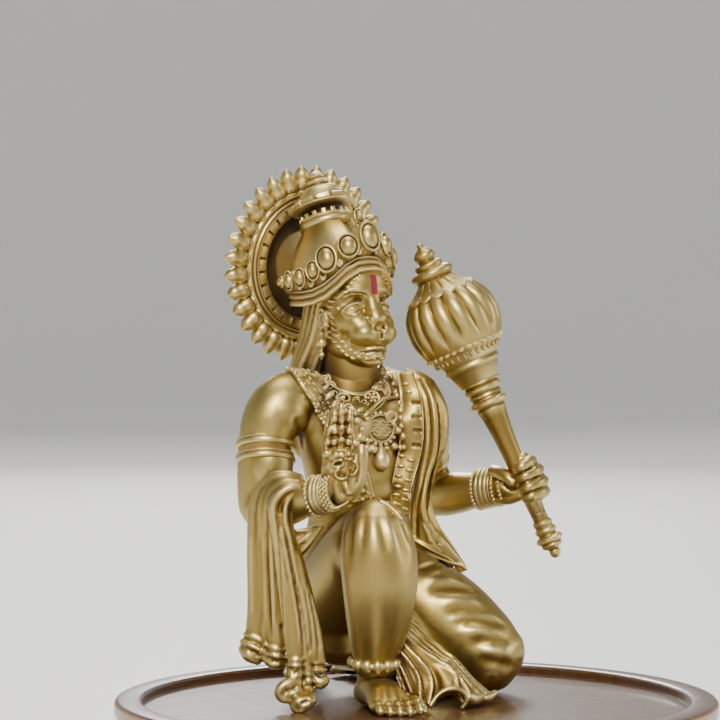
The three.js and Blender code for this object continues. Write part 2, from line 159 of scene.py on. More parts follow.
# A primitive is added once for each size and then copied
def primitive(operator, **sizes):
    key = (operator.idname_py(), tuple(sorted(sizes.items())))
    if key not in madePrimitives:
        selectNone()
        operator(**sizes)
        madePrimitives[key] = takeForm(bpy.context.object)
    points, corners, counts = madePrimitives[key]
    return points.copy(), corners, counts


def sphereForm(segments, rings):
    return primitive(bpy.ops.mesh.primitive_uv_sphere_add, segments=segments, ring_count=rings, radius=1.0)


# For a ball's points: the number of the ring each is on, from the top, and its angle round the axis
def ringAndAngle(points, rings):
    ring = np.round(np.arccos(np.clip(points[:, 2], -1, 1)) / pi * rings)
    return ring, angleRound(points)


def angleRound(points):
    return np.arctan2(points[:, 1], points[:, 0])


def turnMatrix(turn):
    return np.array(Matrix.Rotation(radians(turn[2]), 3, "Z") @ Matrix.Rotation(radians(turn[1]), 3,
        "Y") @ Matrix.Rotation(radians(turn[0]), 3, "X"))


def ball(centre, radii, segments=24, rings=16, turn=(0, 0, 0)):
    points, corners, counts = sphereForm(segments, rings)
    points = (points * np.broadcast_to(radii, 3)) @ turnMatrix(turn).T + np.array(centre, float)
    return points, corners, counts


# Smooth line through stations, at shares t of its length, and its direction there
def alongLine(stations, t):
    stations = np.asarray(stations, float)
    steps = np.linalg.norm(np.diff(stations[:, :3], axis=0), axis=1) + 1e-9
    knots = np.concatenate([[0], np.cumsum(steps)]) / steps.sum()
    index = np.clip(np.searchsorted(knots, t, side="right") - 1, 0, len(knots) - 2)
    u = ((t - knots[index]) / (knots[index + 1] - knots[index]))[:, None]
    padded = np.vstack([2 * stations[0] - stations[1], stations, 2 * stations[-1] - stations[-2]])
    a, b, c, d = (padded[index + k] for k in range(4))
    place = 0.5 * (2 * b + (c - a) * u + (2 * a - 5 * b + 4 * c - d) * u ** 2 + (3 * b - a - 3 * c + d)
        * u ** 3)
    slope = 0.5 * ((c - a) + 2 * (2 * a - 5 * b + 4 * c - d) * u + 3 * (3 * b - a - 3 * c + d) * u ** 2)
    return place, slope


def unit(vectors):
    return vectors / np.maximum(np.linalg.norm(vectors, axis=-1, keepdims=True), 1e-12)


def oval(angle, width, depth, t):
    return width * np.cos(angle), depth * np.sin(angle)


# A round-ended form along stations (x, y, z, half width, half depth); `across` is the width's direction,
# one for all or one for each station, and `shape` draws the ring at share t of the length
def sweep(stations, across=(1, 0, 0), sides=24, rings=28, shape=oval, cap=0.8, capRings=4):
    stations = [tuple(s) + (s[3],) if len(s) == 4 else tuple(s) for s in stations]
    points, corners, counts = sphereForm(sides, rings)
    ring, angle = ringAndAngle(points, rings)
    fromEnd = np.minimum(ring, rings - ring)
    t = np.clip((ring - capRings) / (rings - 2 * capRings), 0, 1)
    place, slope = alongLine(stations, t)
    along = unit(slope[:, :3])
    across = np.asarray(across, float)
    if across.ndim == 1:
        sideways = np.broadcast_to(across, along.shape)
    else:
        sideways = alongLine(np.hstack([np.array(stations)[:, :3], across]), t)[0][:, 3:]
    wide = unit(sideways - along * np.einsum("ij,ij->i", sideways, along)[:, None])
    deep = np.cross(along, wide)
    rounding = np.clip(fromEnd / capRings, 0, 1) * pi / 2
    width, depth = place[:, 3], place[:, 4]
    lift = np.cos(rounding) * cap * np.minimum(width, depth) * np.where(ring < rings / 2, -1, 1)
    u, v = shape(angle, width, depth, t)
    points = place[:, :3] + wide * (u * np.sin(rounding))[:, None] + deep * (v * np.sin(rounding))[:, None]
    return outward((points + along * lift[:, None], corners, counts))


# A sweep drawn in the photograph: stations (column, row, shares toward the camera, half width, half depth)
def drawn(stations, sides=20, rings=None, **options):
    places = np.array([pixelPlace(*station[:3]) for station in stations])
    across = np.cross(np.gradient(places, axis=0), cameraBack)
    rings = rings or max(16, 5 * len(stations))
    return sweep([(*place, *station[3:]) for place, station in zip(places, stations)], across=across,
        sides=sides, rings=rings, **options)


# Corners of a profile cut off, so that it curves
def eased(profile, passes=2):
    profile = np.asarray(profile, float)
    for _ in range(passes):
        a, b = profile[:-1], profile[1:]
        middleParts = np.stack([0.75 * a + 0.25 * b, 0.25 * a + 0.75 * b], 1).reshape(-1, 2)
        profile = np.vstack([profile[:1], middleParts[1:-1], profile[-1:]])
    return profile


# A turned form about +Z: profile (height, radius) with both ends on the axis
def lathe(profile, segments=64):
    profile = np.asarray(profile, float)
    points, corners, counts = sphereForm(segments, len(profile) - 1)
    ring, angle = ringAndAngle(points, len(profile) - 1)
    height, radius = profile[ring.astype(int)].T
    return np.stack([radius * np.cos(angle), radius * np.sin(angle), height], 1), corners, counts


# Three axes, the last from start to end
def frameAlong(start, end):
    up = unit(np.array(end, float) - np.array(start, float))
    side = np.cross(np.array([0, -1.0, 0]), up)
    side = unit(side) if np.linalg.norm(side) > 1e-6 else np.array([1.0, 0, 0])
    return np.stack([side, np.cross(up, side), up], 1)


def standing(form, start, end):
    return outward((form[0] @ frameAlong(start, end).T + np.array(start, float), *form[1:]))


def turned(profile, start, end, segments, change=None):
    points, *faces = lathe(profile, segments)
    return standing((points if change is None else change(points), *faces), start, end)


# Copies of one form: each at a place, in a frame of three axes, at a size
def scattered(form, places, frames, sizes):
    points, corners, counts = form
    sizes = np.asarray(sizes, float)
    sizes = sizes[:, None] if sizes.ndim == 1 else sizes
    copies = np.einsum("nij,npj->npi", np.asarray(frames, float), points[None] * sizes[:, None, :])
    copies = copies + np.asarray(places, float)[:, None, :]
    count = len(copies)
    allCorners = (corners[None] + np.arange(count)[:, None] * len(points)).ravel()
    return copies.reshape(-1, 3), allCorners, np.tile(counts, count)


def applyModifier(thing, kind, **values):
    bpy.context.view_layer.objects.active = thing
    modifier = thing.modifiers.new(kind.title(), kind)
    for key, value in values.items():
        setattr(modifier, key, value)
    bpy.ops.object.modifier_apply(modifier=modifier.name)


def modelled(name, forms, voxel, smoothing=(0.5, 3)):
    thing = makeObject(name, forms)
    applyModifier(thing, "REMESH", mode="VOXEL", voxel_size=voxel)
    applyModifier(thing, "SMOOTH", factor=smoothing[0], iterations=smoothing[1])
    return thing


def vertexNormals(thing):
    return gathered(thing.data.vertex_normals, "vector", 3)


def surfaceTree(things):
    points, corners, counts = joined([readForm(thing) for thing in things])
    ends = np.cumsum(counts)
    faces = [corners[end - count:end].tolist() for end, count in zip(ends, counts)]
    return BVHTree.FromPolygons(points.tolist(), faces)


def smoothPath(path, step):
    path = np.asarray(path, float)
    if len(path) == 1:
        return path
    length = np.linalg.norm(np.diff(path, axis=0), axis=1).sum()
    t = np.linspace(0, 1, max(3, int(length / step) + 1))
    if path.shape[1] == 2:
        padded = np.hstack([path, np.zeros((len(path), 1))])
        return alongLine(padded, t)[0][:, :2]
    return alongLine(path, t)[0]


# Where a pixel's ray meets a surface, or its nearest place to a point
def touched(tree, spot):
    if len(spot) == 2:
        return tree.ray_cast(Vector(cameraInShares), Vector(photoRay(*spot)))
    return tree.find_nearest(Vector(spot))


# A path laid on a surface: pixels are followed along their rays, places go to the nearest point
def laid(tree, path, step=0.3):
    places, normals = [], []
    for spot in smoothPath(path, step * pixelsPerShare if len(path[0]) == 2 else step):
        hit = touched(tree, spot)
        if hit[0] is not None:
            places.append(np.array(hit[0]))
            normals.append(np.array(hit[1]))
    return np.array(places), np.array(normals)


# A single value, or values at even steps, read at shares t of a length
def stretched(values, t):
    return np.interp(t, np.linspace(0, 1, np.size(values)), np.atleast_1d(values))


def softened(values, passes):
    values = values.copy()
    for _ in range(passes):
        values[1:-1] = 0.25 * values[:-2] + 0.5 * values[1:-1] + 0.25 * values[2:]
    return values


def mirroredPath(path):
    return [(2 * middle - x, y, z) for x, y, z in path]


class Sculpture:
    def __init__(self, thing):
        self.thing = thing
        self.points = readForm(thing)[0]
        self.normals = vertexNormals(thing)
        self.raised = np.zeros(len(self.points))
        self.tree = surfaceTree([thing])

    # Raises (or with a negative height cuts) a line into the surface; `lean` makes one side steeper
    def stroke(self, path, width, height, ends=0.25, lean=0.0, both=False):
        line, normals = laid(self.tree, path)
        if len(line) == 0:
            return
        self.press(line, normals, width, height, ends, lean)
        if both:
            line, normals = laid(self.tree, mirroredPath(line))
            self.press(line, normals, width, height, ends, -lean)

    def press(self, line, normals, width, height, ends, lean):
        widths = stretched(width, np.linspace(0, 1, len(line)))
        reach = 2.4 * widths.max() * (1 + abs(lean))
        near = np.all((self.points > line.min(0) - reach) & (self.points < line.max(0) + reach), axis=1)
        index = np.flatnonzero(near)
        if len(index) == 0:
            return
        spots = self.points[index]
        nearest = np.empty(len(spots), dtype=int)
        for start in range(0, len(spots), 4000):
            block = spots[start:start + 4000]
            nearest[start:start + 4000] = ((block[:, None] - line[None]) ** 2).sum(2).argmin(1)
        apart = spots - line[nearest]
        distance = np.linalg.norm(apart, axis=1)
        if lean and len(line) > 2:
            side = np.cross(unit(np.gradient(line, axis=0)), normals)
            slant = np.einsum("ij,ij->i", apart, side[nearest])
            distance = distance / np.where(slant > 0, 1 + lean, 1 - lean)
        fade = 1.0
        if ends > 0 and len(line) > 2:
            fromEnd = np.minimum(nearest, len(line) - 1 - nearest) / (len(line) - 1)
            fade = np.clip(fromEnd / ends, 0, 1)
            fade = fade * fade * (3 - 2 * fade)
        self.raised[index] += height * fade * np.exp(-(distance / widths[nearest]) ** 2)

    def done(self, smoothing=(0.3, 1)):
        points = self.points + self.normals * self.raised[:, None]
        setPoints(self.thing, points)
        if smoothing[1]:
            applyModifier(self.thing, "SMOOTH", factor=smoothing[0], iterations=smoothing[1])
        return self.thing


# A strip or cord laid on a surface; `lift` raises its middle off the surface
def strip(tree, path, width, depth, lift=0.0, shape=oval, sides=12, step=0.5, soften=4, both=False, cap=0.5):
    line, normals = laid(tree, path, step)
    forms = []
    for turnOver in ((False, True) if both else (False,)):
        if turnOver:
            line, normals = laid(tree, mirroredPath(line), step)
        line, normals = softened(line, soften), unit(softened(normals, soften * 2))
        t = np.linspace(0, 1, len(line))
        widths, depths = stretched(width, t), stretched(depth, t)
        place = line + normals * lift
        along = unit(np.gradient(place, axis=0))
        across = np.cross(along, normals)
        stations = np.column_stack([place, widths, depths])
        rings = min(240, max(12, len(line)))
        forms.append(sweep(stations, across, sides=sides, rings=rings, shape=shape, cap=cap, capRings=3))
    return forms


# Copies of a form at even steps along a line laid on a surface
def alongStrip(tree, path, form, pitch, size, lift, shift, start=0.0):
    line, normals = laid(tree, path, 0.25)
    line, normals = softened(line, 6), unit(softened(normals, 12))
    lengths = np.concatenate([[0], np.cumsum(np.linalg.norm(np.diff(line, axis=0), axis=1))])
    spots = np.arange(pitch * (0.5 + start), lengths[-1] - pitch * 0.3, pitch)

    def atSpots(values):
        return np.stack([np.interp(spots, lengths, values[:, k]) for k in range(3)], 1)

    up = unit(atSpots(normals))
    side = unit(np.cross(unit(atSpots(np.gradient(line, axis=0))), up))
    frames = np.stack([side, np.cross(up, side), up], 2)
    return scattered(form, atSpots(line) + up * lift + side * shift, frames, np.full(len(spots), size))


# Places on a surface under pixels of the photograph; what is already a place stays one
def onSurface(tree, spots):
    found = []
    for spot in spots:
        if len(spot) == 2:
            hit = touched(tree, spot)
            if hit[0] is None:  # beside the outline: the nearest place instead
                hit = tree.find_nearest(Vector(pixelPlace(*spot, -12)))
            spot = hit[0]
        found.append(tuple(spot))
    return found


# A frame on a surface: right and up as the camera sees them, turned by `spin` degrees, and outward
def tangentFrame(normal, spin=0.0):
    normal = unit(np.array(normal))
    right = unit(cameraRight - normal * (cameraRight @ normal))
    first = right * cos(radians(spin)) + np.cross(normal, right) * sin(radians(spin))
    return np.stack([first, np.cross(normal, first), normal], 1)


# An ornament set on a surface at a pixel or beside a place
def stamped(tree, spot, form, size=1.0, spin=0.0, lift=0.0, facing=0.8):
    hit = touched(tree, spot)
    if hit[0] is None:
        return []
    axes = tangentFrame(unit(np.array(hit[1])) + facing * cameraBack, spin)
    return [outward(scattered(form, [np.array(hit[0]) + axes[:, 2] * lift], [axes],
        [np.broadcast_to(size, 3)]))]


# Relief from lines drawn in pixels: (path, heights along it, width in pixels)
def drawnRelief(lines):
    def relief(places):
        spots = toPixels(places)
        total = np.zeros(len(spots))
        for path, height, width in lines:
            line = smoothPath(path, 1.5)
            near = np.all((spots > line.min(0) - 3 * width) & (spots < line.max(0) + 3 * width), axis=1)
            index = np.flatnonzero(near)
            if len(index) == 0:
                continue
            apart = ((spots[index][:, None] - line[None]) ** 2).sum(2)
            nearest = apart.argmin(1)
            amount = stretched(height, nearest / (len(line) - 1))
            total[index] += amount * np.exp(-apart[np.arange(len(index)), nearest] / width ** 2)
        return total
    return relief


# A sheet drawn on a lattice: rows of (column, row, shares toward the camera), folds added by `relief`
def latticeSheet(name, rows, across, down, thickness, relief=None, places=False):
    lattice = np.array([[spot if places else pixelPlace(*spot) for spot in row] for row in rows], float)
    selectNone()
    bpy.ops.mesh.primitive_grid_add(x_subdivisions=across, y_subdivisions=down, size=2)
    points, corners, counts = takeForm(bpy.context.object)
    u, v = (points[:, 0] + 1) / 2, (1 - points[:, 1]) / 2
    surface = lambda s, t: latticePoint(lattice, s, t)
    place = surface(u, v)
    du = surface(np.clip(u + 0.01, 0, 1), v) - surface(np.clip(u - 0.01, 0, 1), v)
    dv = surface(u, np.clip(v + 0.01, 0, 1)) - surface(u, np.clip(v - 0.01, 0, 1))
    normal = unit(np.cross(dv, du))
    if relief is not None:
        place = place + normal * relief(place)[:, None]
    thing = makeObject(name, [(place, corners, counts)])
    applyModifier(thing, "SOLIDIFY", thickness=thickness, offset=-1)
    return takeForm(thing)


def latticePoint(lattice, u, v):
    rowCount, columnCount = lattice.shape[:2]

    def weights(x, count):
        x = x * (count - 1)
        index = np.clip(np.floor(x).astype(int), 0, count - 2)
        f = x - index
        w = [
            0.5 * (-f + 2 * f ** 2 - f ** 3), 0.5 * (2 - 5 * f ** 2 + 3 * f ** 3),
            0.5 * (f + 4 * f ** 2 - 3 * f ** 3), 0.5 * (-f ** 2 + f ** 3),
        ]
        return index, w

    padded = np.pad(lattice, ((1, 1), (1, 1), (0, 0)), mode="reflect", reflect_type="odd")
    i, wi = weights(v, rowCount)
    j, wj = weights(u, columnCount)
    total = np.zeros((len(u), 3))
    for a in range(4):
        for b in range(4):
            total += padded[i + a, j + b] * (wi[a] * wj[b])[:, None]
    return total


pieces = []


def finishPiece(thing, angle=40, replaced=()):
    setPoints(thing, readForm(thing)[0] * share + [0, 0, floorHeight])
    selectNone()
    thing.select_set(True)
    bpy.context.view_layer.objects.active = thing
    if angle is None:
        bpy.ops.object.shade_smooth()
    else:
        bpy.ops.object.shade_smooth_by_angle(angle=radians(angle))
    thing.select_set(False)
    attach(thing, "root")
    if replaced:
        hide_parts(*replaced)
    pieces.append(thing)
    print("piece", thing.name, len(thing.data.vertices), "points")
    return thing


bodySettings = {"voxel": 0.49, "smoothing": (0.5, 4), "flute": 0.42, "crease": 0.9}


def limb(stations, **options):
    return sweep(stations, sides=72, rings=80, **options)


def torsoForms():
    trunk = limb([(4, 23, 12, 11, 10), (3.6, 22.5, 19, 12.4, 11), (2.8, 21.4, 28, 11, 9.8),
        (2, 20.2, 36, 9.8, 8.8), (1.6, 20.2, 43, 10.8, 9), (1.6, 20.6, 50, 12.6, 9), (1.8, 21.8, 55, 12, 7.8),
        (1.4, 22, 58.6, 7.6, 6), (1.2, 21.6, 62, 5.2, 5), (0.9, 21, 66, 4.9, 5)])
    chest = [ball((middle + side * 5.2, 14.4, 51.4), (5.6, 3.6, 4.8)) for side in (-1, 1)]
    blades = [ball((middle + side * 5.6, 27.4, 51), (5.4, 3, 6.4)) for side in (-1, 1)]
    slopes = [
        ball((middle + side * 6.6, 22.6, 58), (6.4, 4.4, 2.8), turn=(0, side * 14, 0)) for side in (-1, 1)
    ]
    belly = ball((1.6, 15.6, 38.4), (7, 4.8, 6.4))
    return [trunk, belly, *chest, *blades, *slopes]


def armForms():
    right = limb([(-9, 22.4, 56.8, 4.6), (-13.4, 22.9, 55.8, 5.6), (-16.4, 23.2, 52.6, 5.5),
        (-17.5, 23.8, 47.6, 4.9), (-17.6, 24.4, 41.6, 4.75), (-17.4, 24.8, 36.6, 4.5)], across=(0, 1, 0))
    rightMuscles = [ball((-14.8, 22.4, 54), (5.6, 5.4, 5.4)), ball((-17.4, 22.2, 44.2), (4.5, 4.3, 6))]
    rightFore = limb([(-17.4, 24.8, 36.4, 4.4), (-18.2, 17, 37, 4.1), (-17.9, 10, 38.8, 3.4),
        (-17.1, 4.4, 40, 2.8)])
    left = limb([(11, 22.4, 56.6, 5), (17.4, 23, 54.4, 5.7), (20.4, 24.6, 50.4, 5.6), (22.8, 27, 44.4, 5),
        (25.4, 30, 38.4, 4.7), (26.4, 31, 36.4, 4.4)], across=(0, 1, 0))
    leftFore = limb([(26.4, 31.4, 36.6, 4.4), (27.2, 24.4, 36.9, 4.3), (28, 18, 37.8, 3.6),
        (28.6, 12.8, 38.6, 2.8)])
    return [right, *rightMuscles, rightFore, left, leftFore]


def legForms():
    raisedThigh = limb([(-1, 22, 18.6, 9, 9), (-3.6, 13, 24.6, 8.8, 9), (-6.4, 5.4, 29.6, 7.4, 8),
        (-7.6, 1.8, 32.6, 6.2, 6.2)])
    raisedShin = limb([(-7.75, 1.75, 37.2, 3.2, 3.2), (-7.8, 1.7, 35.5, 5.2, 5.2),
        (-7.85, 1.65, 33.4, 6.15, 6.05), (-7.95, 1.3, 30.6, 6.9, 6.55), (-8, 0.9, 27.4, 7.3, 6.8),
        (-7.9, 0.8, 22.4, 7.1, 6.8), (-7.6, 1.6, 15.6, 6, 5.8), (-7.3, 2.6, 9.8, 4.5, 4.4),
        (-7.1, 3, 7, 3.9, 3.9)], cap=0.5)
    foldedThigh = limb([(8, 25, 19, 9.8, 9.8), (12.6, 18.8, 17.4, 10, 9.8), (17, 12.6, 13.6, 9.4, 9.2),
        (20.6, 7.4, 9.4, 8.1, 7.9), (22.6, 4.8, 6.8, 6.9, 6.8)])
    foldedShin = limb([(22.4, 5.4, 6.4, 6.2), (20.6, 16, 5.4, 5.4), (18, 28, 4.2, 4.2), (17, 34, 3.3, 2.8)])
    seat = [ball((9.6, 27.6, 15), (8.6, 8, 8.4)), ball((-1.4, 27, 16), (8.6, 7.6, 8.4))]
    return [raisedThigh, raisedShin, foldedThigh, foldedShin, *seat]


def tailForms():
    return [sweep([(5, 31, 15, 2.2), (6.4, 38, 10.5, 2), (6.6, 42, 4.6, 1.9), (3.6, 42.6, 2, 1.8),
        (0.4, 39, 1.8, 1.7), (0.6, 33.6, 1.9, 1.6)], across=(0, 0, 1), sides=20, rings=40)]


# Long flutes that fan out from the knee, as rows of pixels down each groove
shinGrooves = [
    ([(356, 503), (353, 520), (350, 545), (349, 580)], 0.85),
    ([(366, 505), (364, 525), (362, 545), (362, 568)], 0.55),
    ([(377, 505), (381, 525), (386, 545), (389, 568)], 0.6),
    ([(388, 507), (397, 527), (405, 550), (408, 575)], 0.75), ([(345, 516), (341, 540), (341, 565)], 0.3),
    ([(397, 514), (406, 530), (412, 550)], 0.6),
]
shinRidges = [
    ([(347, 512), (345, 530), (345, 555)], 0.5), ([(360, 509), (357, 528), (356, 552)], 0.5),
    ([(372, 508), (373, 530), (375, 560)], 0.45), ([(383, 509), (391, 530), (398, 560)], 0.5),
]
# Folds across the folded thigh
thighGrooves = [
    ([(414, 573), (426, 566), (440, 562), (452, 565), (462, 573)], 0.95, 0.35),
    ([(424, 594), (438, 588), (454, 586), (470, 589), (484, 597)], 1.15, 0.35),
    ([(440, 618), (452, 612), (466, 611), (480, 613), (494, 618)], 0.6, 0.0),
    ([(448, 626), (462, 621), (478, 619), (496, 622), (510, 628)], 1.0, 0.5),
    ([(464, 644), (480, 641), (496, 642), (512, 641)], 0.7, 0.0),
    ([(474, 660), (488, 659), (504, 663), (522, 667)], 0.8, 0.35),
]
thighRidges = [
    ([(416, 580), (432, 576), (448, 575), (462, 580)], 0.55),
    ([(432, 604), (450, 600), (468, 599), (486, 604)], 0.55),
    ([(452, 632), (470, 628), (490, 628), (508, 632)], 0.55), ([(478, 652), (496, 650), (518, 651)], 0.6),
    ([(490, 676), (506, 674), (522, 674)], 0.4),
]


# Smooths only round one place, where limbs meet
def calmed(thing, centre, reach, passes):
    near = 1 - np.linalg.norm(readForm(thing)[0] - centre, axis=1) / reach
    group = thing.vertex_groups.new(name="calmed")
    for index in np.flatnonzero(near > 0):
        group.add([int(index)], float(min(1.0, 2 * near[index])), "REPLACE")
    applyModifier(thing, "SMOOTH", factor=0.5, iterations=passes, vertex_group="calmed")
    thing.vertex_groups.clear()


def sculptBody():
    thing = modelled("castBody", torsoForms() + armForms() + legForms() + tailForms(), bodySettings["voxel"],
        bodySettings["smoothing"])
    calmed(thing, (-7.8, 0.2, 34.6), 6.5, 40)
    body = Sculpture(thing)
    for path, strength in shinGrooves:
        body.stroke(path, (0.65, 0.9, 1.2), -bodySettings["flute"] * 1.3 * strength, ends=0.45)
    for path, strength in shinRidges:
        body.stroke(path, (1.0, 1.3), bodySettings["flute"] * 0.8 * strength, ends=0.45)
    for path, strength, lean in thighGrooves:
        body.stroke(path, 1.15, -bodySettings["crease"] * strength, ends=0.4, lean=lean)
    for path, strength in thighRidges:
        body.stroke(path, 2.0, bodySettings["crease"] * strength, ends=0.4)
    # the same sort of folds on the side away from the camera and below the raised thigh
    for k in range(6):
        height = 26 - 3.4 * k
        body.stroke([(11 + 2.4 * k, 29 - 3 * k, height - 1), (16 + 2.2 * k, 25.5 - 3.2 * k, height - 2),
            (19 + 1.6 * k, 20.5 - 3 * k, height - 5), (19 + 1.2 * k, 16.5 - 2.6 * k, height - 11)], 0.9, -0.6,
            ends=0.3)
    for k in range(7):
        angle = radians(20 + 22 * k)
        x, y = -7.8 + 7 * cos(angle), 1 + 6.6 * sin(angle)
        body.stroke([(x, y, 30), (x, y, 24), (x * 0.99, y, 17),
            (-7.3 + 0.7 * (x + 7.3), 2.2 + 0.7 * (y - 2.2), 11)], 1.1, -0.3, ends=0.45)
    body.stroke([(middle, 12, 55), (middle, 11, 51), (middle, 10.8, 45)], 1.0, -0.45)  # breastbone
    for side in (-1, 1):
        body.stroke([(middle + side * 2, 11, 46.6), (middle + side * 6, 11.6, 46.4),
            (middle + side * 10, 14.4, 48)], 0.9, -0.4)
        body.stroke([(middle + side * 0.6, 31, 56), (middle + side * 0.8, 30.4, 46),
            (middle + side * 0.8, 29.4, 34)], 1.2, -0.35)
    body.stroke([(296, 414), (299, 430), (302, 452)], 0.8, -0.5)  # arm meeting the chest
    return body.done()


body = sculptBody()
bodyTree = surfaceTree([body])
print("body sculpted", len(body.data.vertices))


headSettings = {
    "voxel": 0.15, "smoothing": (0.5, 4), "centre": (middle, 18.6, 71.5), "reach": 13.0, "softness": 0.34,
    "segments": 220, "rings": 150, "steps": 26, "halvings": 9,
    # centre sideways of the middle line (both sides when not 0), y, z, then the three radii
    "masses": [
        (0, 21.4, 74.6, 6.2, 7, 7.6), (0, 19.2, 78.4, 5.7, 5.3, 4.4), (0, 19.6, 71.8, 5.5, 5, 5.4),
        (3.5, 17.2, 71, 2.6, 2.6, 2.5), (0, 15.6, 68.6, 4.3, 3.3, 2.8), (2.15, 13.75, 68.8, 2.5, 2.25, 2.05),
         (3, 15.3, 70.6, 2.1, 2.1, 2.2),
        (1.9, 14.1, 70.5, 1.5, 1.5, 1.3),
        (0, 17.4, 65.4, 4.2, 4, 2.9), (0, 14.4, 64.1, 2.2, 1.7, 1.5), (3.9, 19.8, 67.4, 1.7, 3.6, 3.4),
        (0, 13.85, 66.2, 2.3, 1.4, 0.55), (0, 14.1, 65.4, 1.9, 1.3, 0.55),
        (0, 14.95, 76.8, 1.5, 1, 1.2), (0, 14.6, 75.7, 1.4, 1, 1.2), (0, 14.2, 74.6, 1.4, 1, 1.2),
        (0, 13.75, 73.5, 1.5, 1.1, 1.2), (0, 13.1, 72.5, 1.6, 1.2, 1.1), (0, 12.5, 71.7, 1.45, 1.2, 0.9),
        (1.1, 13.2, 71.1, 0.95, 1, 0.75),
        (1.7, 14.9, 76.95, 1.8, 0.85, 0.7), (3.6, 15.9, 77, 1.6, 1.1, 0.75), (5, 17.8, 76.2, 0.9, 1.4, 0.9),
        (3.35, 17, 73.5, 1.85, 1.9, 1.5),
    ],
    "hollows": [(2.35, 13.4, 74.9, 0.8, 1.6, 1), (3.5, 14, 75.3, 1.9, 1.6, 0.6)],
}


# How far places lie outside an oval ball (less than 0 inside)
def ovalDistance(places, centre, radii):
    scaled = (places - centre) / radii
    length = np.linalg.norm(scaled, axis=-1)
    slope = np.linalg.norm(scaled / radii, axis=-1)
    return length * (length - 1) / np.maximum(slope, 1e-6)


# Masses that flow into one another, found along rays from one centre
def blended(settings):
    centre = np.array(settings["centre"])
    soft = settings["softness"]

    def bothSides(entries):
        found = []
        for aside, y, z, *radii in entries:
            for side in ((-1, 1) if aside else (1,)):
                found.append((np.array([middle + side * aside, y, z]), np.array(radii)))
        return found

    masses, cuts = bothSides(settings["masses"]), bothSides(settings["hollows"])

    def outside(places):
        total = sum(np.exp(np.clip(-ovalDistance(places, *mass) / soft, -60, 60)) for mass in masses)
        distance = -soft * np.log(total + 1e-30)
        for cut in cuts:
            cutDistance = -ovalDistance(places, *cut)
            distance = 0.5 * (distance + cutDistance
                + np.sqrt((distance - cutDistance) ** 2 + (0.6 * soft) ** 2))
        return distance

    rays, corners, counts = sphereForm(settings["segments"], settings["rings"])
    far = np.full(len(rays), settings["reach"])
    near = np.zeros(len(rays))
    index = np.arange(len(rays))
    for t in np.linspace(settings["reach"], 0, settings["steps"]):
        inside = outside(centre + rays[index] * t) < 0
        near[index[inside]] = t
        index = index[~inside]
        far[index] = t
    for _ in range(settings["halvings"]):
        half = 0.5 * (near + far)
        inside = outside(centre + rays * half[:, None]) < 0
        near, far = np.where(inside, half, near), np.where(inside, far, half)
    return centre + rays * (0.5 * (near + far))[:, None], corners, counts


def headForms():
    neck = sweep([(1.2, 22.2, 56, 6, 5.6), (1, 21.6, 61, 5.3, 5.1), (middle, 21, 66.5, 5.1, 5.1)], sides=200,
        rings=60)
    ears = [
        ball((middle + side * 6.0, 21.8, 71.4), (0.85, 1.5, 2.2), turn=(0, side * 8, 0)) for side in (-1, 1)
    ]
    return [blended(headSettings), neck, *ears]


# Little locks of beard and hair, each from its root to its tip in pixels
tufts = [
    ((326, 299), (337, 302)), ((325, 304), (335, 308)), ((324, 310), (333, 314)), ((328, 313), (336, 320)),
    ((324, 316), (331, 321)), ((330, 320), (337, 326)), ((323, 323), (331, 327)), ((330, 327), (338, 331)),
    ((324, 329), (333, 333)), ((331, 333), (340, 337)), ((325, 335), (333, 339)), ((331, 339), (338, 343)),
    ((338, 339), (346, 343)), ((335, 344), (342, 348)), ((343, 344), (350, 348)), ((339, 349), (346, 352)),
    ((347, 348), (354, 351)), ((352, 351), (359, 354)), ((344, 353), (350, 356)), ((356, 355), (363, 358)),
    ((349, 356), (356, 359)), ((361, 352), (366, 354)), ((363, 357), (370, 359)), ((370, 357), (377, 358)),
    ((377, 355), (383, 356)), ((348, 282), (356, 284)), ((352, 278), (358, 280)), ((357, 275), (363, 276)),
    ((344, 286), (352, 287)), ((341, 291), (349, 292)), ((336, 306), (341, 310)), ((334, 297), (342, 296)),
]


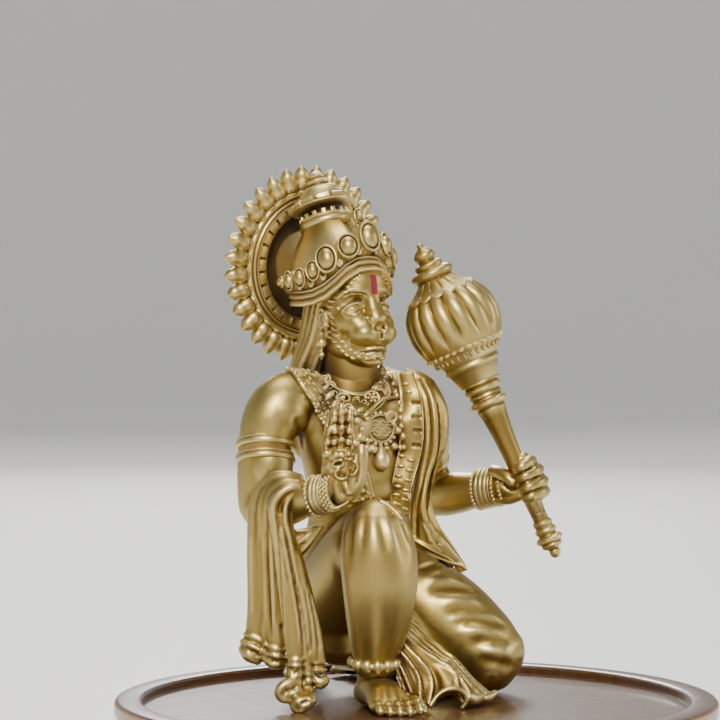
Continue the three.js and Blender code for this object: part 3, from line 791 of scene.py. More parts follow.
faceLines = [  # path, width, height, share faded at each end, on both sides or not
    ([(340, 300), (345, 295.5), (353, 293.5), (362, 294), (370, 297)], 0.28, -0.28, 0.2, True),  # brow edge
    # hollow under it
    ([(339, 308), (345, 302), (352, 298.5), (360, 297.5), (367, 300)], 0.75, -0.28, 0.25, True),
    ([(338, 311.5), (343, 306), (350, 301.5), (357, 299.8), (364, 301)], 0.24, -0.32, 0.15, True),
    ([(341, 311.5), (345, 308), (350, 304.8), (357, 302.4), (363, 303.5)], 0.2, 0.3, 0.1, True),  # lid
    ([(343, 312), (348, 308), (353, 305.6), (358, 304.8), (363, 307)], 0.14, -0.34, 0.1, True),
    ([(341, 312.5), (348, 315.2), (355, 315.8), (360, 313.5), (363.5, 309.5)], 0.2, -0.3, 0.1, True),
    ([(345, 312.6), (350, 313.6), (356, 313.4), (361, 311)], 0.13, 0.12, 0.2, True),  # lower lid
    ([(354, 309.2)], 0.44, 0.16, 0, True),  # iris
    ([(354.3, 309.2)], 0.18, -0.26, 0, True),
    ([(364, 300), (363.5, 306), (365, 312)], 0.4, -0.2, 0.3, True),  # corner beside the nose
    ([(367, 317), (369.5, 322), (373, 326.5)], 0.3, -0.25, 0.2, True),  # wing of the nose
    ([(376.5, 327.5)], 0.36, -0.5, 0, True),  # nostril
    ([(373, 328.5), (378, 329.5), (384, 329)], 0.26, -0.25, 0.2, False),
    ([(382, 329), (382.3, 334), (382.3, 340)], 0.28, -0.5, 0.1, False),  # groove under the nose
    ([(350, 339), (353, 343), (361, 346), (371, 346.5), (381, 345)], 0.34, -0.15, 0.2, True),
    ([(361, 350), (370, 349), (378, 347.5), (385, 346.5)], 0.26, 0.26, 0.2, True),  # upper lip
    ([(358, 352), (366, 352.8), (375, 352), (385, 350.3)], 0.2, -0.26, 0.15, True),  # mouth
    ([(362, 361), (370, 361.5), (378, 360), (384, 358)], 0.4, -0.25, 0.2, True),
    ([(338, 334), (344, 338), (350, 340)], 0.9, -0.3, 0.3, True),  # hollow of the cheek
]


def sculptHead():
    thing = modelled("castHead", headForms(), headSettings["voxel"], headSettings["smoothing"])
    face = Sculpture(thing)
    for path, width, height, ends, both in faceLines:
        face.stroke(path, width, height, ends=ends, both=both)
    for side in (-1, 1):  # shell of the ear
        x = middle + side * 6.9
        face.stroke([(x, 20.6, 73), (x, 21.8, 73.6), (x, 22.9, 72.4), (x, 22.6, 70.4), (x, 21.4, 69.4)], 0.26,
            0.45, ends=0.1)
        face.stroke([(x, 21.6, 72.4), (x, 21.9, 71.4), (x, 21.4, 70.4)], 0.36, -0.5, ends=0.1)
    face.stroke([(322, 374), (336, 382), (352, 385), (372, 382)], 0.4, -0.18, ends=0.2)
    return face.done((0.2, 1))


head = sculptHead()
headTree = surfaceTree([head])


def tuftForms():
    forms = []
    for start, end in tufts:
        wide, tall = end[0] - start[0], end[1] - start[1]
        start, end = (start[0] + 0.16 * wide, start[1] + 0.1 * tall), (end[0] - 0.12 * wide,
            end[1] - 0.2 * tall)
        middlePoint = ((start[0] + end[0]) / 2, (start[1] + end[1]) / 2 + 0.9)
        forms += strip(headTree, [start, middlePoint, end], (0.14, 0.32, 0.34, 0.26, 0.08),
            (0.16, 0.3, 0.34, 0.26, 0.08), lift=0.04, sides=10, step=0.16, soften=1, both=True, cap=0.8)
    return forms


locks = makeObject("beardLocks", tuftForms())
print("head sculpted", len(head.data.vertices))


crownSettings = {
    "farSide": 0.92,
    "centre": (0.45, 24.8, 79.4), "lean": 20, "depth": 1.12, "roll": 0.03, "segments": 240,
    # angle from the front in degrees, and how much the rim lies above its front there
    "rimLift": [(0, 0), (15, -0.15), (30, -1.05), (45, -2.5), (60, -3.55), (75, -3.7), (90, -3.1),
     (105, -2.2),
                (120, -1.3), (135, -0.5), (150, 0.1), (180, 0.4)],
    "profile": [
        (-2.3, 0), (-2.3, 8.4), (-2.4, 9.2), (-2.25, 9.6), (-1.9, 9.8), (-1.5, 9.6), (-1.35, 9.25),
         (-1.05, 9.15),
        (-0.9, 9.4), (-0.6, 9.62), (-0.25, 9.5), (-0.1, 9.1), (0.15, 9.05), (0.3, 9.25), (0.5, 9.32),
         (0.7, 9.15),
        (0.85, 9.1), (1.6, 9.2), (2.6, 9.2), (3.8, 9.0), (5.2, 8.6), (6.4, 8.0), (7.6, 7.15), (8.8, 6.15),
        (9.8, 5.3), (9.95, 5.2), (10.1, 5.1), (10.25, 5.02), (10.4, 5.2), (10.8, 5.3), (11.3, 5.15),
         (11.5, 4.9),
        (11.6, 5), (11.9, 5.05), (12.2, 4.9), (12.3, 4.2), (12.4, 3.7), (13, 3.5), (13.7, 3.7), (14, 4.2),
        (14.1, 5.9), (14.2, 6.2), (14.4, 6.25), (14.55, 6.1), (14.65, 5.95), (14.8, 6.1), (15.5, 6.05),
         (15.7, 5.8),
        (15.75, 5.2), (15.9, 4.8), (16.6, 4.6), (16.8, 4.3), (17.6, 3.9), (18.1, 3.4), (18.3, 2.7),
         (18.6, 2.25),
        (18.9, 2.2), (19.1, 2.35), (19.45, 2.4), (19.7, 2.2), (19.9, 1.7), (20.15, 1.5), (20.35, 1.6),
         (20.7, 1.7),
        (21, 1.45), (21.4, 1.05), (21.7, 0.6), (21.85, 0),
    ],
    "flangeBlocks": 12, "teeth": 16,
    # angle from the front in degrees, height, half height, half width of each ringed stone
    "stones": [(0, 3.9, 3.05, 2.4), (25.5, 3.3, 2.45, 2.05), (49, 3.9, 2.75, 2), (64.5, 3.4, 2, 1.35),
               (80.5, 3, 2, 1.3), (96.5, 2.9, 1.95, 1.25), (113, 2.85, 1.2, 1)],
    "stoneRadius": 10.9,
}


def rimLift(angle):
    degrees, lifts = np.array(crownSettings["rimLift"]).T
    return np.interp(np.abs(np.degrees(angle)), degrees, lifts)


# From round the crown's own axis (side, back, along) to its place on the head; what is small moves as a whole
def onCrown(form, lift=None, depth=None):
    points, corners, counts = form
    x, back, along = points.T
    if lift is None:
        radius = np.hypot(x, back)
        fade = np.interp(along, [4.5, 10.5], [1, 0]) * np.clip(radius / 6, 0, 1)
        lift = fade * rimLift(np.arctan2(x, -back))
        depth = 1 + (crownSettings["depth"] - 1) * np.interp(along, [1, 6], [1, 0])
    lifted = along + lift + crownSettings["roll"] * x
    front = -back * depth
    x = np.where(x > 0, x * crownSettings["farSide"], x)
    upright = radians(90 - crownSettings["lean"])
    places = np.stack([x, lifted * cos(upright) - front * sin(upright),
        lifted * sin(upright) + front * cos(upright)], 1)
    return outward((places + crownSettings["centre"], corners, counts))


def roundAxis(form, angle):
    return (form[0] @ turnMatrix((0, 0, np.degrees(angle))).T, *form[1:])


def sized(form, size):
    return (form[0] * np.array(size, float), *form[1:])


def moved(form, offset):
    return (form[0] + np.array(offset, float), *form[1:])


# A turned form laid down so that its axis points to the front (-Y)
def facingFront(form):
    x, y, z = form[0].T
    return (np.stack([x, -z, y], 1), *form[1:])


# A block with its edges bevelled
def blockForm(half, bevel=0.12):
    key = ("block", tuple(half), bevel)
    if key not in madePrimitives:
        selectNone()
        bpy.ops.mesh.primitive_cube_add(size=2.0)
        bpy.ops.object.mode_set(mode="EDIT")
        bpy.ops.transform.resize(value=tuple(half))
        bpy.ops.mesh.bevel(offset=bevel, segments=2, affect="EDGES")
        bpy.ops.object.mode_set(mode="OBJECT")
        madePrimitives[key] = takeForm(bpy.context.object)
    points, corners, counts = madePrimitives[key]
    return points.copy(), corners, counts


def ringedStone(tall, wide, deep=2.4):
    setting = lathe([(-deep, 0), (-deep, 1.02), (-0.7, 0.95), (-0.3, 0.94), (-0.12, 1.0), (0.06, 1.03),
        (0.2, 1.0), (0.26, 0.93), (0.2, 0.86), (0.05, 0.82), (-0.15, 0.8), (-0.2, 0)], 40)
    stone = ball((0, 0, -0.3), (0.78, 0.78, 1.35), 32, 20)
    return [facingFront(sized(form, (wide, tall, 1))) for form in (setting, stone)]


def crownForms():
    settings = crownSettings

    def cutFlange(points):
        angle = angleRound(points)
        along, radius = points[:, 2], np.hypot(points[:, 0], points[:, 1])
        part = (angle / (2 * pi) * settings["flangeBlocks"] + 0.12) % 1
        gap = np.clip((0.09 - np.abs(part - 0.5)) / 0.03, 0, 1)
        gap = gap * ((along > 14.7) & (along < 15.72) & (radius > 5.5))
        points = points.copy()
        points[:, 2] -= gap * np.clip(along - 14.7, 0, 1) * 0.8
        points[:, :2] *= (1 - 0.09 * gap)[:, None]
        return points

    points, corners, counts = lathe(settings["profile"], settings["segments"])
    forms = [onCrown((cutFlange(points), corners, counts))]
    for degrees, along, tall, wide in settings["stones"]:
        for side in ((-1, 1) if degrees else (1,)):
            angle = radians(degrees)
            for form in ringedStone(tall, wide, 2.4 if tall > 2 else 1.7):
                placed = roundAxis(moved(form, (0, -settings["stoneRadius"] * (1 if tall > 2 else 0.985),
                    along)), side * angle)
                forms.append(onCrown(placed, lift=float(rimLift(angle)), depth=settings["depth"]))
    leaf = ball((0, 0, 0), (0.35, 0.3, 0.75), 12, 8)
    for degrees in (12.5, 37, 57, 72.5, 88.5):
        for side in (-1, 1):
            angle = radians(degrees)
            for lean, drop in ((-28, 0), (28, 0)):
                tilted = leaf[0] @ turnMatrix((0, lean, 0)).T, leaf[1], leaf[2]
                placed = roundAxis(moved(tilted, (0.3 * lean / 28, -9.7, 1.5 + drop)), side * angle)
                forms.append(onCrown(placed, lift=float(rimLift(angle)), depth=settings["depth"]))
    # the crest stands free above the middle stone, held from behind
    for form in ringedStone(1.5, 1.2, 1.2):
        forms.append(onCrown(moved(form, (0, -10.2, 8.7)), lift=0.0, depth=1.0))
    forms.append(onCrown(sweep([(0, -9.6, 5.4, 0.9, 0.6), (0, -9.4, 7, 0.6, 0.5), (0, -9.2, 8.8, 0.9, 0.5),
        (0, -7.4, 9.4, 0.7, 0.6), (0, -5, 9.8, 0.6, 0.6)], sides=16), lift=0.0, depth=1.0))
    tooth = blockForm((0.42, 0.3, 0.55))
    for k in range(settings["teeth"]):
        angle = 2 * pi * (k + 0.3) / settings["teeth"]
        forms.append(onCrown(roundAxis(moved(tooth, (0, -4.7, 12.35)), angle)))
    return forms


crown = makeObject("jewelledCrown", crownForms())
print("crown", len(crown.data.vertices))


haloSettings = {
    "centre": (1.5, 36.2, 81.9), "tilt": 4.5, "buds": 32, "phase": 0.62, "segments": 200, "budStart": 14.2,
    "profile": [(-1.6, 0), (-1.6, 13.9), (-1.3, 14.4), (-0.8, 14.6), (0.3, 14.6), (0.7, 14.45), (0.95, 14.1),
    (0.95, 13.8), (0.75, 13.55), (0.7, 13.35), (0.85, 13.25), (1, 13.05), (0.95, 12.85), (0.8, 12.75),
    (0.8, 12.6), (1.05, 12.5), (1.1, 12.35), (0.7, 12.2), (0.65, 11.4), (0.7, 10.75), (1, 10.65), (1, 10.5),
    (0.6, 10.4), (-0.2, 10.3), (-0.4, 9.9), (-0.5, 7.2), (-0.4, 7), (-0.5, 6.8), (-0.6, 0)],
    "bud": [(0, 0), (0, 1.25), (0.3, 1.45), (0.5, 1.4), (0.62, 1.2), (0.8, 1.45), (1.2, 1.7), (1.8, 1.78),
    (2.4, 1.64), (2.8, 1.5), (3.1, 1.44), (3.5, 1.42), (4, 1.26), (4.4, 0.96), (4.75, 0.62), (5.05, 0.36),
    (5.25, 0)], "blocks": 28,
}


def haloForms():
    settings = haloSettings
    tilt = radians(settings["tilt"])
    centre = np.array(settings["centre"])
    facing = np.array([0, -cos(tilt), -sin(tilt)])
    side, up = np.array([1.0, 0, 0]), np.array([0, -sin(tilt), cos(tilt)])

    def ringOf(form, count, radius, height, phase=0.0):
        places, frames = [], []
        for k in range(count):
            angle = 2 * pi * (k + phase) / count
            out = cos(angle) * side + sin(angle) * up
            frames.append(np.stack([np.cross(out, facing), facing, out], 1))
            places.append(centre + out * radius + facing * height)
        return outward(scattered(form, places, frames, np.ones(count)))

    back = [
        (-1, 0), (-1, 13.4), (-0.6, 13.8), (0.1, 13.9), (0.4, 13.6), (0.4, 13), (0.15, 12.6), (0.1, 11.2),
        (0.35, 10.9), (0.4, 10.4), (0.1, 10.1), (0, 7.4), (0.2, 7.2), (0.2, 6.8), (0, 6.6), (0, 0),
    ]
    return [standing(lathe(settings["profile"], settings["segments"]), centre, centre + facing),
        standing(lathe(back, 128), centre - facing * 1.5, centre - facing * 2.5),
        ringOf(lathe(settings["bud"], 28), settings["buds"], settings["budStart"], -0.3, settings["phase"]),
        ringOf(blockForm((1.08, 0.45, 0.68), 0.1), settings["blocks"], 11.55, 0.95),
        sweep([(0.9, 31, 80, 3, 2.4), (1.1, 34.8, 80.4, 2.6, 2.6)], across=(1, 0, 0))]


halo = makeObject("beadedHalo", haloForms())
print("halo", len(halo.data.vertices))


hairSettings = {"voxel": 0.32, "smoothing": (0.5, 1), "strands": 34}


def hairForms():
    outline = (
        (middle, 24.4, 75, 6.4, 6), (middle, 26, 68, 6.9, 5), (middle, 27.8, 62, 8.2, 4.1),
        (1, 29.4, 54, 8.8, 3), (1, 29.8, 46.6, 6.6, 1.9),
    )
    forms = [sweep(outline, sides=40, rings=40)]
    count = hairSettings["strands"]
    for k in range(count):
        angle = pi * (k + 0.5) / count * 1.6 - pi * 0.3  # round the back, from one side to the other
        layer = k % 3
        stations = []
        for step, (x, y, z, wide, deep) in enumerate(outline):
            sway = 0.05 * sin(k * 2.4 + step * 0.9)
            stations.append((x + (wide + 0.22 * layer) * cos(angle + sway),
                y + (deep + 0.22 * layer) * sin(angle + sway), z + 0.5 * sin(k * 1.7) * (step > 3),
                (0.42, 0.6, 0.68, 0.6, 0.2)[step]))
        forms.append(sweep(stations, across=(-sin(angle), cos(angle), 0), sides=8, rings=30))
    return forms


hair = modelled("looseHair", hairForms(), hairSettings["voxel"], hairSettings["smoothing"])
print("hair", len(hair.data.vertices))


maceSettings = {
    "pommel": (35.2, 1, 25.9), "finial": (14.7, 17.6, 85.4), "ribs": 15, "segments": 240,
    "handle": [(-0.3, 0), (-0.2, 0.55), (0.3, 1.0), (0.8, 1.15), (1.3, 1.05), (1.5, 0.95), (1.7, 1.4),
    (2.1, 1.95), (2.5, 2.1), (2.8, 1.95), (2.95, 2.2), (3.3, 2.6), (3.7, 2.65), (4.1, 2.4), (4.4, 1.8),
    (4.6, 1.7), (4.9, 1.95), (5.4, 2.15), (5.8, 2.0), (6.05, 1.7), (6.3, 1.7), (6.6, 1.9), (6.95, 1.95),
    (7.3, 1.75), (7.6, 1.5), (8.6, 1.48), (8.8, 1.62), (9, 1.5), (11.5, 1.7), (16, 1.75), (21.4, 1.85),
    (26, 2.1), (29.4, 2.5), (30.4, 2.75), (31.0, 2.95), (31.4, 2.7), (31.7, 3.1), (32.1, 3.6), (32.5, 3.7),
    (32.9, 3.5), (33.2, 3), (33.5, 2.9), (33.8, 3.25), (34.1, 3.2), (34.4, 3), (34.7, 3.4), (35.1, 3.75),
    (35.6, 3.7), (36, 3.3), (36.2, 3.5), (36.5, 3.95), (36.8, 3.9), (37, 4.1), (39.4, 4.95), (39.6, 5.1),
    (39.9, 5.45), (40.3, 5.6), (40.7, 5.4), (41, 5.35), (41.4, 5.6), (44, 7.2), (44, 0)],
    "bulb": [(0, 0), (0, 6.9), (0.2, 7.3), (0.9, 7.75), (2.6, 8.55), (4.4, 9.05), (6.2, 9.25), (8, 9.05),
    (9.6, 8.6), (11, 7.8), (12.2, 6.8), (13, 5.9), (13.6, 4.6), (13.6, 0)],
    "cap": [(0, 0), (0, 4.4), (2.2, 4.1), (3, 3.5), (3.6, 3.3), (3.9, 3.5), (4.2, 3.95), (4.6, 4.2),
    (5.1, 4.25), (5.5, 4.05), (5.8, 3.6), (6, 3), (6.15, 2.7), (6.4, 2.75), (6.8, 2.8), (7.1, 2.6),
    (7.3, 2.0), (7.45, 1.6), (7.8, 1.75), (8.2, 2.0), (8.7, 2.12), (9.2, 1.95), (9.7, 1.5), (10.1, 1.0),
    (10.35, 0.62), (10.5, 0.55), (10.7, 0.66), (11.0, 0.6), (11.2, 0.3), (11.3, 0)],
    "collar": [(0, 0), (-0.1, 6.7), (0.1, 7.2), (0.5, 7.15), (1.1, 6.2), (1.9, 4.8), (2.7, 3.9), (3.3, 3.3),
    (3.5, 0)], "rim": [(-0.3, 0), (-0.3, 7.4), (0.0, 8.05), (0.35, 8.1), (0.7, 7.8), (0.8, 0)], "loops": 30,
}
maceAxis = unit(np.array(maceSettings["finial"]) - np.array(maceSettings["pommel"]))


def onMace(distance):
    return np.array(maceSettings["pommel"]) + maceAxis * distance


def ribbed(points):
    angle = angleRound(points) + 0.012 * points[:, 2]
    wave = np.abs(np.cos(maceSettings["ribs"] * angle / 2))  # round ribs between sharp valleys
    depth = np.interp(points[:, 2], [0, 2, 4.6, 12.6, 13.4], [0.0, 0.01, 0.12, 0.14, 0.1])
    scale = 1 - depth * (1 - np.sqrt(np.clip(wave, 0, 1)))
    return points * np.stack([scale, scale, np.ones(len(points))], 1)


def scalloped(count, depth, drop, grooves=0.0):
    def change(points):
        angle = angleRound(points)
        radius = np.hypot(points[:, 0], points[:, 1])
        wave = np.abs(np.cos(count * angle / 2))
        edge = radius / radius.max()
        scale = 1 - depth * (1 - wave) * edge - grooves * (1 - np.sqrt(wave)) * (edge < 0.92) * edge
        return np.stack([points[:, 0] * scale, points[:, 1] * scale, points[:, 2] - drop * wave * edge ** 2],
            1)
    return change


def maceForms():
    segments = maceSettings["segments"]
    forms = [
        turned(maceSettings["handle"], onMace(0), onMace(1), 64),
        turned(eased(maceSettings["bulb"], 1), onMace(43), onMace(44), segments, ribbed),
        turned(eased(maceSettings["cap"], 1), onMace(54.4), onMace(55.4), 72),
    ]
    forms.append(turned(maceSettings["collar"], onMace(55.2), onMace(56.2), segments,
        scalloped(15, 0.07, 0.6, 0.12)))
    forms.append(turned(maceSettings["rim"], onMace(43.9), onMace(44.9), segments, scalloped(30, 0.05, 0.35)))
    places, frames = [], []
    base = frameAlong(onMace(0), onMace(1))
    count = maceSettings["loops"]
    for k in range(count):
        angle = 2 * pi * k / count
        out = base @ np.array([cos(angle), sin(angle), 0])
        places.append(onMace(42.7) + out * 6.45)
        frames.append(np.stack([np.cross(maceAxis, out), maceAxis, out], 1))
    forms.append(scattered(ball((0, 0, 0), (0.42, 0.85, 0.45), 12, 8), places, frames, np.ones(count)))
    return forms


mace = makeObject("ribbedMace", maceForms())
print("mace", len(mace.data.vertices))


handSettings = {"voxel": 0.185, "smoothing": (0.5, 2), "depth": 8.2}
# The open hand, in pixels: palm, then each finger with its pads and creases, then the thumb
palmStations = [
    (344, 503, 7.4, 1.6, 1.6), (343, 494, 7.8, 2.9, 1.9), (343, 484, 8, 3.7, 1.8), (343, 472, 8.1, 4, 1.5),
    (341.5, 462, 8.2, 3.8, 1.35), (339, 454, 8.3, 3.2, 1.25), (338, 447, 8.2, 2.9, 1),
    (338, 436, 7.7, 2.7, 0.75), (338.5, 424, 7.6, 2.5, 0.7), (340, 412, 7.8, 1.7, 0.6),
]
fingerStations = [
    [(327, 454, 0.8), (328, 442, 0.86), (329.5, 436, 0.68), (331, 430, 0.86), (332.5, 424, 0.6)],
    [(334, 453, 0.8), (334.5, 442, 0.86), (335, 436.5, 0.68), (335.5, 431, 0.86), (335.2, 425, 0.68),
    (334.5, 419, 0.82), (334.5, 413.5, 0.55)], [(341, 452, 0.8), (341, 439, 0.86), (341.5, 433, 0.7),
    (342, 427, 0.88), (342, 420, 0.7), (341.5, 412, 0.86), (341.5, 405.5, 0.55)],
    [(349, 452, 0.8), (348.5, 442, 0.86), (349, 436.5, 0.7), (349.5, 430.5, 0.88), (350, 424.5, 0.7),
    (350, 418, 0.84), (350, 412, 0.55)],
]
thumbStations = [
    (350, 496, 8.2, 1.6, 1.6), (355, 483, 8.9, 1.7, 1.6), (358.5, 472, 9.3, 1.65, 1.5),
    (360.5, 463, 9.5, 1.45, 1.3), (361.5, 455, 9.7, 1.35, 1.2), (361.5, 447.5, 9.6, 1, 0.9),
]


def openHandForms():
    depth = handSettings["depth"]
    forms = [drawn(palmStations, sides=36, rings=40), drawn(thumbStations, sides=24, rings=40)]
    for k, finger in enumerate(fingerStations):
        stations = [
            (x, y, depth + 0.5 * sin(2.4 * part / len(finger)), 0.8 * max(thick, 0.75), thick) for part,
            (x, y, thick) in enumerate(finger)
        ]
        forms.append(drawn(stations, sides=20, rings=44, cap=0.9, capRings=6))
        for x, y, thick in finger:
            if thick > 0.81:  # pads stand out, as on fingers a little bent
                forms.append(ball(pixelPlace(x, y, depth + 0.85), (0.7, 0.7, 0.78), 16, 12))
    # the wrist behind, and the soft mounts at the root of each finger
    forms.append(sweep([(-17.9, 5.4, 39.4, 2.8, 2.7), (-17.2, 3.9, 40.6, 2.6, 2.4),
        (-16.6, 3.2, 42.4, 2.4, 1.8)], sides=28))
    for x, y, size in ((327, 454, 1), (335, 456, 1.3), (343, 455, 1.1), (349, 454, 1)):
        forms.append(ball(pixelPlace(x, y, depth + 0.5), (size, size, size), 16, 12))
    return forms


def ringLine(centre, radii, start, end, count=16, turn=0.0):
    line = []
    for k in range(count + 1):
        angle = radians(start + (end - start) * k / count)
        x, y = radii[0] * cos(angle), radii[1] * sin(angle)
        line.append((centre[0] + x * cos(radians(turn)) - y * sin(radians(turn)),
            centre[1] + x * sin(radians(turn)) + y * cos(radians(turn))))
    return line


def sculptOpenHand():
    hand = Sculpture(modelled("openHand", openHandForms(), handSettings["voxel"], handSettings["smoothing"]))
    # a raised flourish of three open petals round a bud, with a small arc above
    petals = [
        ((338.5, 463.5), (6, 3), 20, 330, -12), ((341.5, 474), (6, 5), -40, 250, 10),
        ((353.5, 468), (3.6, 7), -200, 130, 8),
    ]
    for centre, radii, start, end, turn in petals:
        hand.stroke(ringLine(centre, radii, start, end, 16, turn), 0.26, 0.5, ends=0.06)
        hand.stroke([centre], 0.6, -0.45, ends=0)
    hand.stroke(ringLine((349, 456.5), (4.5, 3), 10, 170), 0.2, 0.5, ends=0.1)
    hand.stroke([(348.5, 454)], 0.34, 0.3, ends=0)
    hand.stroke([(344, 482), (347, 490), (350, 497)], 0.6, 0.4, ends=0.3)
    hand.stroke([(338, 480), (341, 489), (344, 497)], 0.5, -0.35, ends=0.3)
    hand.stroke([(326, 462), (331, 468), (334, 474)], 0.6, 0.35, ends=0.3)
    hand.stroke([(355, 488), (358, 470), (356.5, 456), (356, 448)], 0.4, -0.5, ends=0.2)
    for row in (424.5, 436.5, 447.5):  # creases of the finger joints
        hand.stroke([(326, row), (335, row - 0.5), (344, row - 1), (353, row)], 0.3, -0.25, ends=0.05)
    for column, top in ((331.5, 426), (338, 414), (345.5, 412)):
        hand.stroke([(column, top), (column, 436), (column - 1, 449)], 0.22, -0.2, ends=0.1)
    hand.stroke([(332, 456), (340, 454.5), (346, 458)], 0.5, 0.35, ends=0.3)
    return hand.done((0.3, 1))


openHand = sculptOpenHand()

gripSettings = {  # each finger: right end and tip in pixels
    "fingers": [((531, 461), (517.5, 470)), ((538, 469.5), (519.5, 480)), ((542.5, 480.5), (523, 490.5)),
                ((544.5, 491), (525.5, 498.5))],
    "thick": (1.14, 1.18, 1.16, 1.08),
}


def grippingForms():
    forms = [
        drawn([(490, 486.5, -27.4, 3.1, 2.9), (501, 485.5, -25.2, 3.3, 2.8), (511, 485, -23.4, 3.4, 2.4),
        (521, 483, -22.8, 3.3, 2.2), (532, 479, -24.4, 3.2, 1.8)], sides=36, rings=40, cap=0.6),
        drawn([(522, 494, -22, 1.2, 1.6), (509, 498, -23.2, 1.3, 1.6), (497, 498, -25.2, 1.2, 1.6)],
        sides=24),
    ]
    for ((x, y), (tipX, tipY)), thick in zip(gripSettings["fingers"], gripSettings["thick"]):
        slope = (tipY - y) / (tipX - x)
        stations = []
        for along, toward, wide in ((-14, -26.2, 0.9), (-5, -26, 1), (-0.5, -24.6, 1), (0, -22.4, 1.03),
                (-2.6, -20.2, 1.06), (-6.5, -19.2, 0.94), (-10, -18.9, 1.04), (-14, -19.6, 0.9)):
            px = x + along * (x - tipX) / 14
            stations.append((px, y + slope * (px - x), toward, thick * wide, thick * wide))
        places = np.array([pixelPlace(*station[:3]) for station in stations])
        forms.append(sweep([(*place, *station[3:]) for place, station in zip(places, stations)],
            across=maceAxis, sides=20, rings=56))
    # what the fingers close round, so that the creases between them stay shallow
    forms.append(drawn([(521, 460, -22.4, 1.9, 1.9), (526.5, 472, -22.2, 2.35, 2.3),
        (531.5, 484, -22.2, 2.4, 2.3), (535.5, 495, -22.4, 2, 2)], sides=36, rings=40))
    # thumb laid over the handle from the other side
    forms.append(drawn([(495, 472, -25, 1.4, 1.6), (501, 473.5, -22.4, 1.3, 1.4),
        (507, 477.5, -20.6, 1.1, 1.1), (512.5, 482.5, -19.8, 0.9, 0.9)], sides=20, rings=32))
    return forms


def sculptGrip():
    grip = Sculpture(modelled("grippingHand", grippingForms(), handSettings["voxel"],
        handSettings["smoothing"]))
    for ((x, y), (tipX, tipY)) in gripSettings["fingers"][:3]:
        grip.stroke([(x + 3, y + 5.5), (0.5 * (x + tipX), 0.5 * (y + tipY) + 5.6), (tipX - 1, tipY + 5)], 0.2,
            -0.35, ends=0.1)
    grip.stroke([(497, 480), (497.5, 485), (498.5, 490)], 0.4, 0.35, ends=0.2)
    grip.stroke([(503, 480), (505, 485), (509, 488), (514, 489), (519, 488)], 0.5, -0.6, ends=0.2)
    return grip.done((0.3, 1))


grippingHand = sculptGrip()
print("hands", len(openHand.data.vertices), len(grippingHand.data.vertices))


footSettings = {"voxel": 0.245, "smoothing": (0.5, 2)}
# Toes of the standing foot in pixels: middle of the last joint, thickness
toeTips = [
    ((381, 712), 0.9), ((391, 713), 0.92), ((401, 713.5), 0.96), ((411, 713), 0.98), ((422, 711), 1.15),
]
toeRoots = [(376, 703), (386, 703), (396, 702), (406, 701), (415, 700)]


def toes(root, spread, ahead, reaches, thick):
    root, spread, ahead = (np.array(v, float) for v in (root, spread, ahead))
    forms = []
    for k, reach in enumerate(reaches):
        start = root + spread * (k - 2) * 1.85
        stations = []
        for part, lift, wide in ((-2.2, 0.5, 0.9), (-0.9, 0.55, 1), (0, 0.35, 0.88), (0.55, 0.2, 1.02),
                (1, -0.05, 0.85)):
            distance = reach * part if part > 0 else part
            stations.append((*(start + ahead * distance + np.array([0, 0, lift])), thick * wide))
        forms.append(sweep(stations, across=spread, sides=18, rings=28))
    return forms


def frontToes():
    forms = []
    for ((x, y), thick), (rootX, rootY) in zip(toeTips, toeRoots):
        stations = []
        for part, wide, rise in ((0, 0.8, 0), (0.35, 0.95, 0), (0.5, 1.08, -1.2), (0.66, 0.86, 0.4),
                (0.84, 1.06, -0.4), (1, 0.9, 0.4)):
            stations.append((rootX + (x - rootX) * part, rootY + (y - rootY) * part + rise, 10.6 + 3.4 * part,
                thick * wide, thick * wide))
        forms.append(drawn(stations, sides=18, rings=36))
    return forms


def footForms():
    front = [
        sweep([(-6.4, 6.4, 2.6, 2.8, 2.6), (-7.4, 2.8, 3.4, 3.2, 3.2), (-8.7, -2, 2.7, 3.8, 2.6),
        (-10.2, -6.2, 1.4, 4.5, 1.5)], across=(0.96, -0.3, 0), sides=32),
        sweep([(-7.1, 3, 9.4, 3.4, 3.3), (-7.1, 3.4, 3.4, 3.2, 3.4)], sides=28),
    ]
    back = [
        sweep([(17, 32.2, 3.6, 2.7, 2.6), (16.6, 36.6, 3.6, 3, 3.2), (16.2, 41, 1.8, 3.4, 1.5)],
        across=(1, 0, 0), sides=32),
    ]
    back += toes((16.1, 41.6, 1.1), (0.98, 0, 0), (0, 1, 0), (1.2, 1.6, 1.9, 2, 2.1), 0.85)
    return front + frontToes() + back


def sculptFeet():
    both = Sculpture(modelled("bareFeet", footForms(), footSettings["voxel"], footSettings["smoothing"]))
    for (x, y), (tipX, tipY) in zip(toeRoots, [tip for tip, thick in toeTips]):
        both.stroke([(0.6 * x + 152, 684), (0.8 * x + 76, 691), (x, y)], 0.6, 0.18, ends=0.3)
        both.stroke([(x + 5, y), (0.5 * (x + tipX) + 5, 0.5 * (y + tipY)), (tipX + 5, tipY)], 0.26, -0.3,
            ends=0.2)
    return both.done((0.3, 1))


feet = sculptFeet()
print("feet", len(feet.data.vertices))


scarfSettings = {"voxel": 0.325, "smoothing": (0.5, 2)}

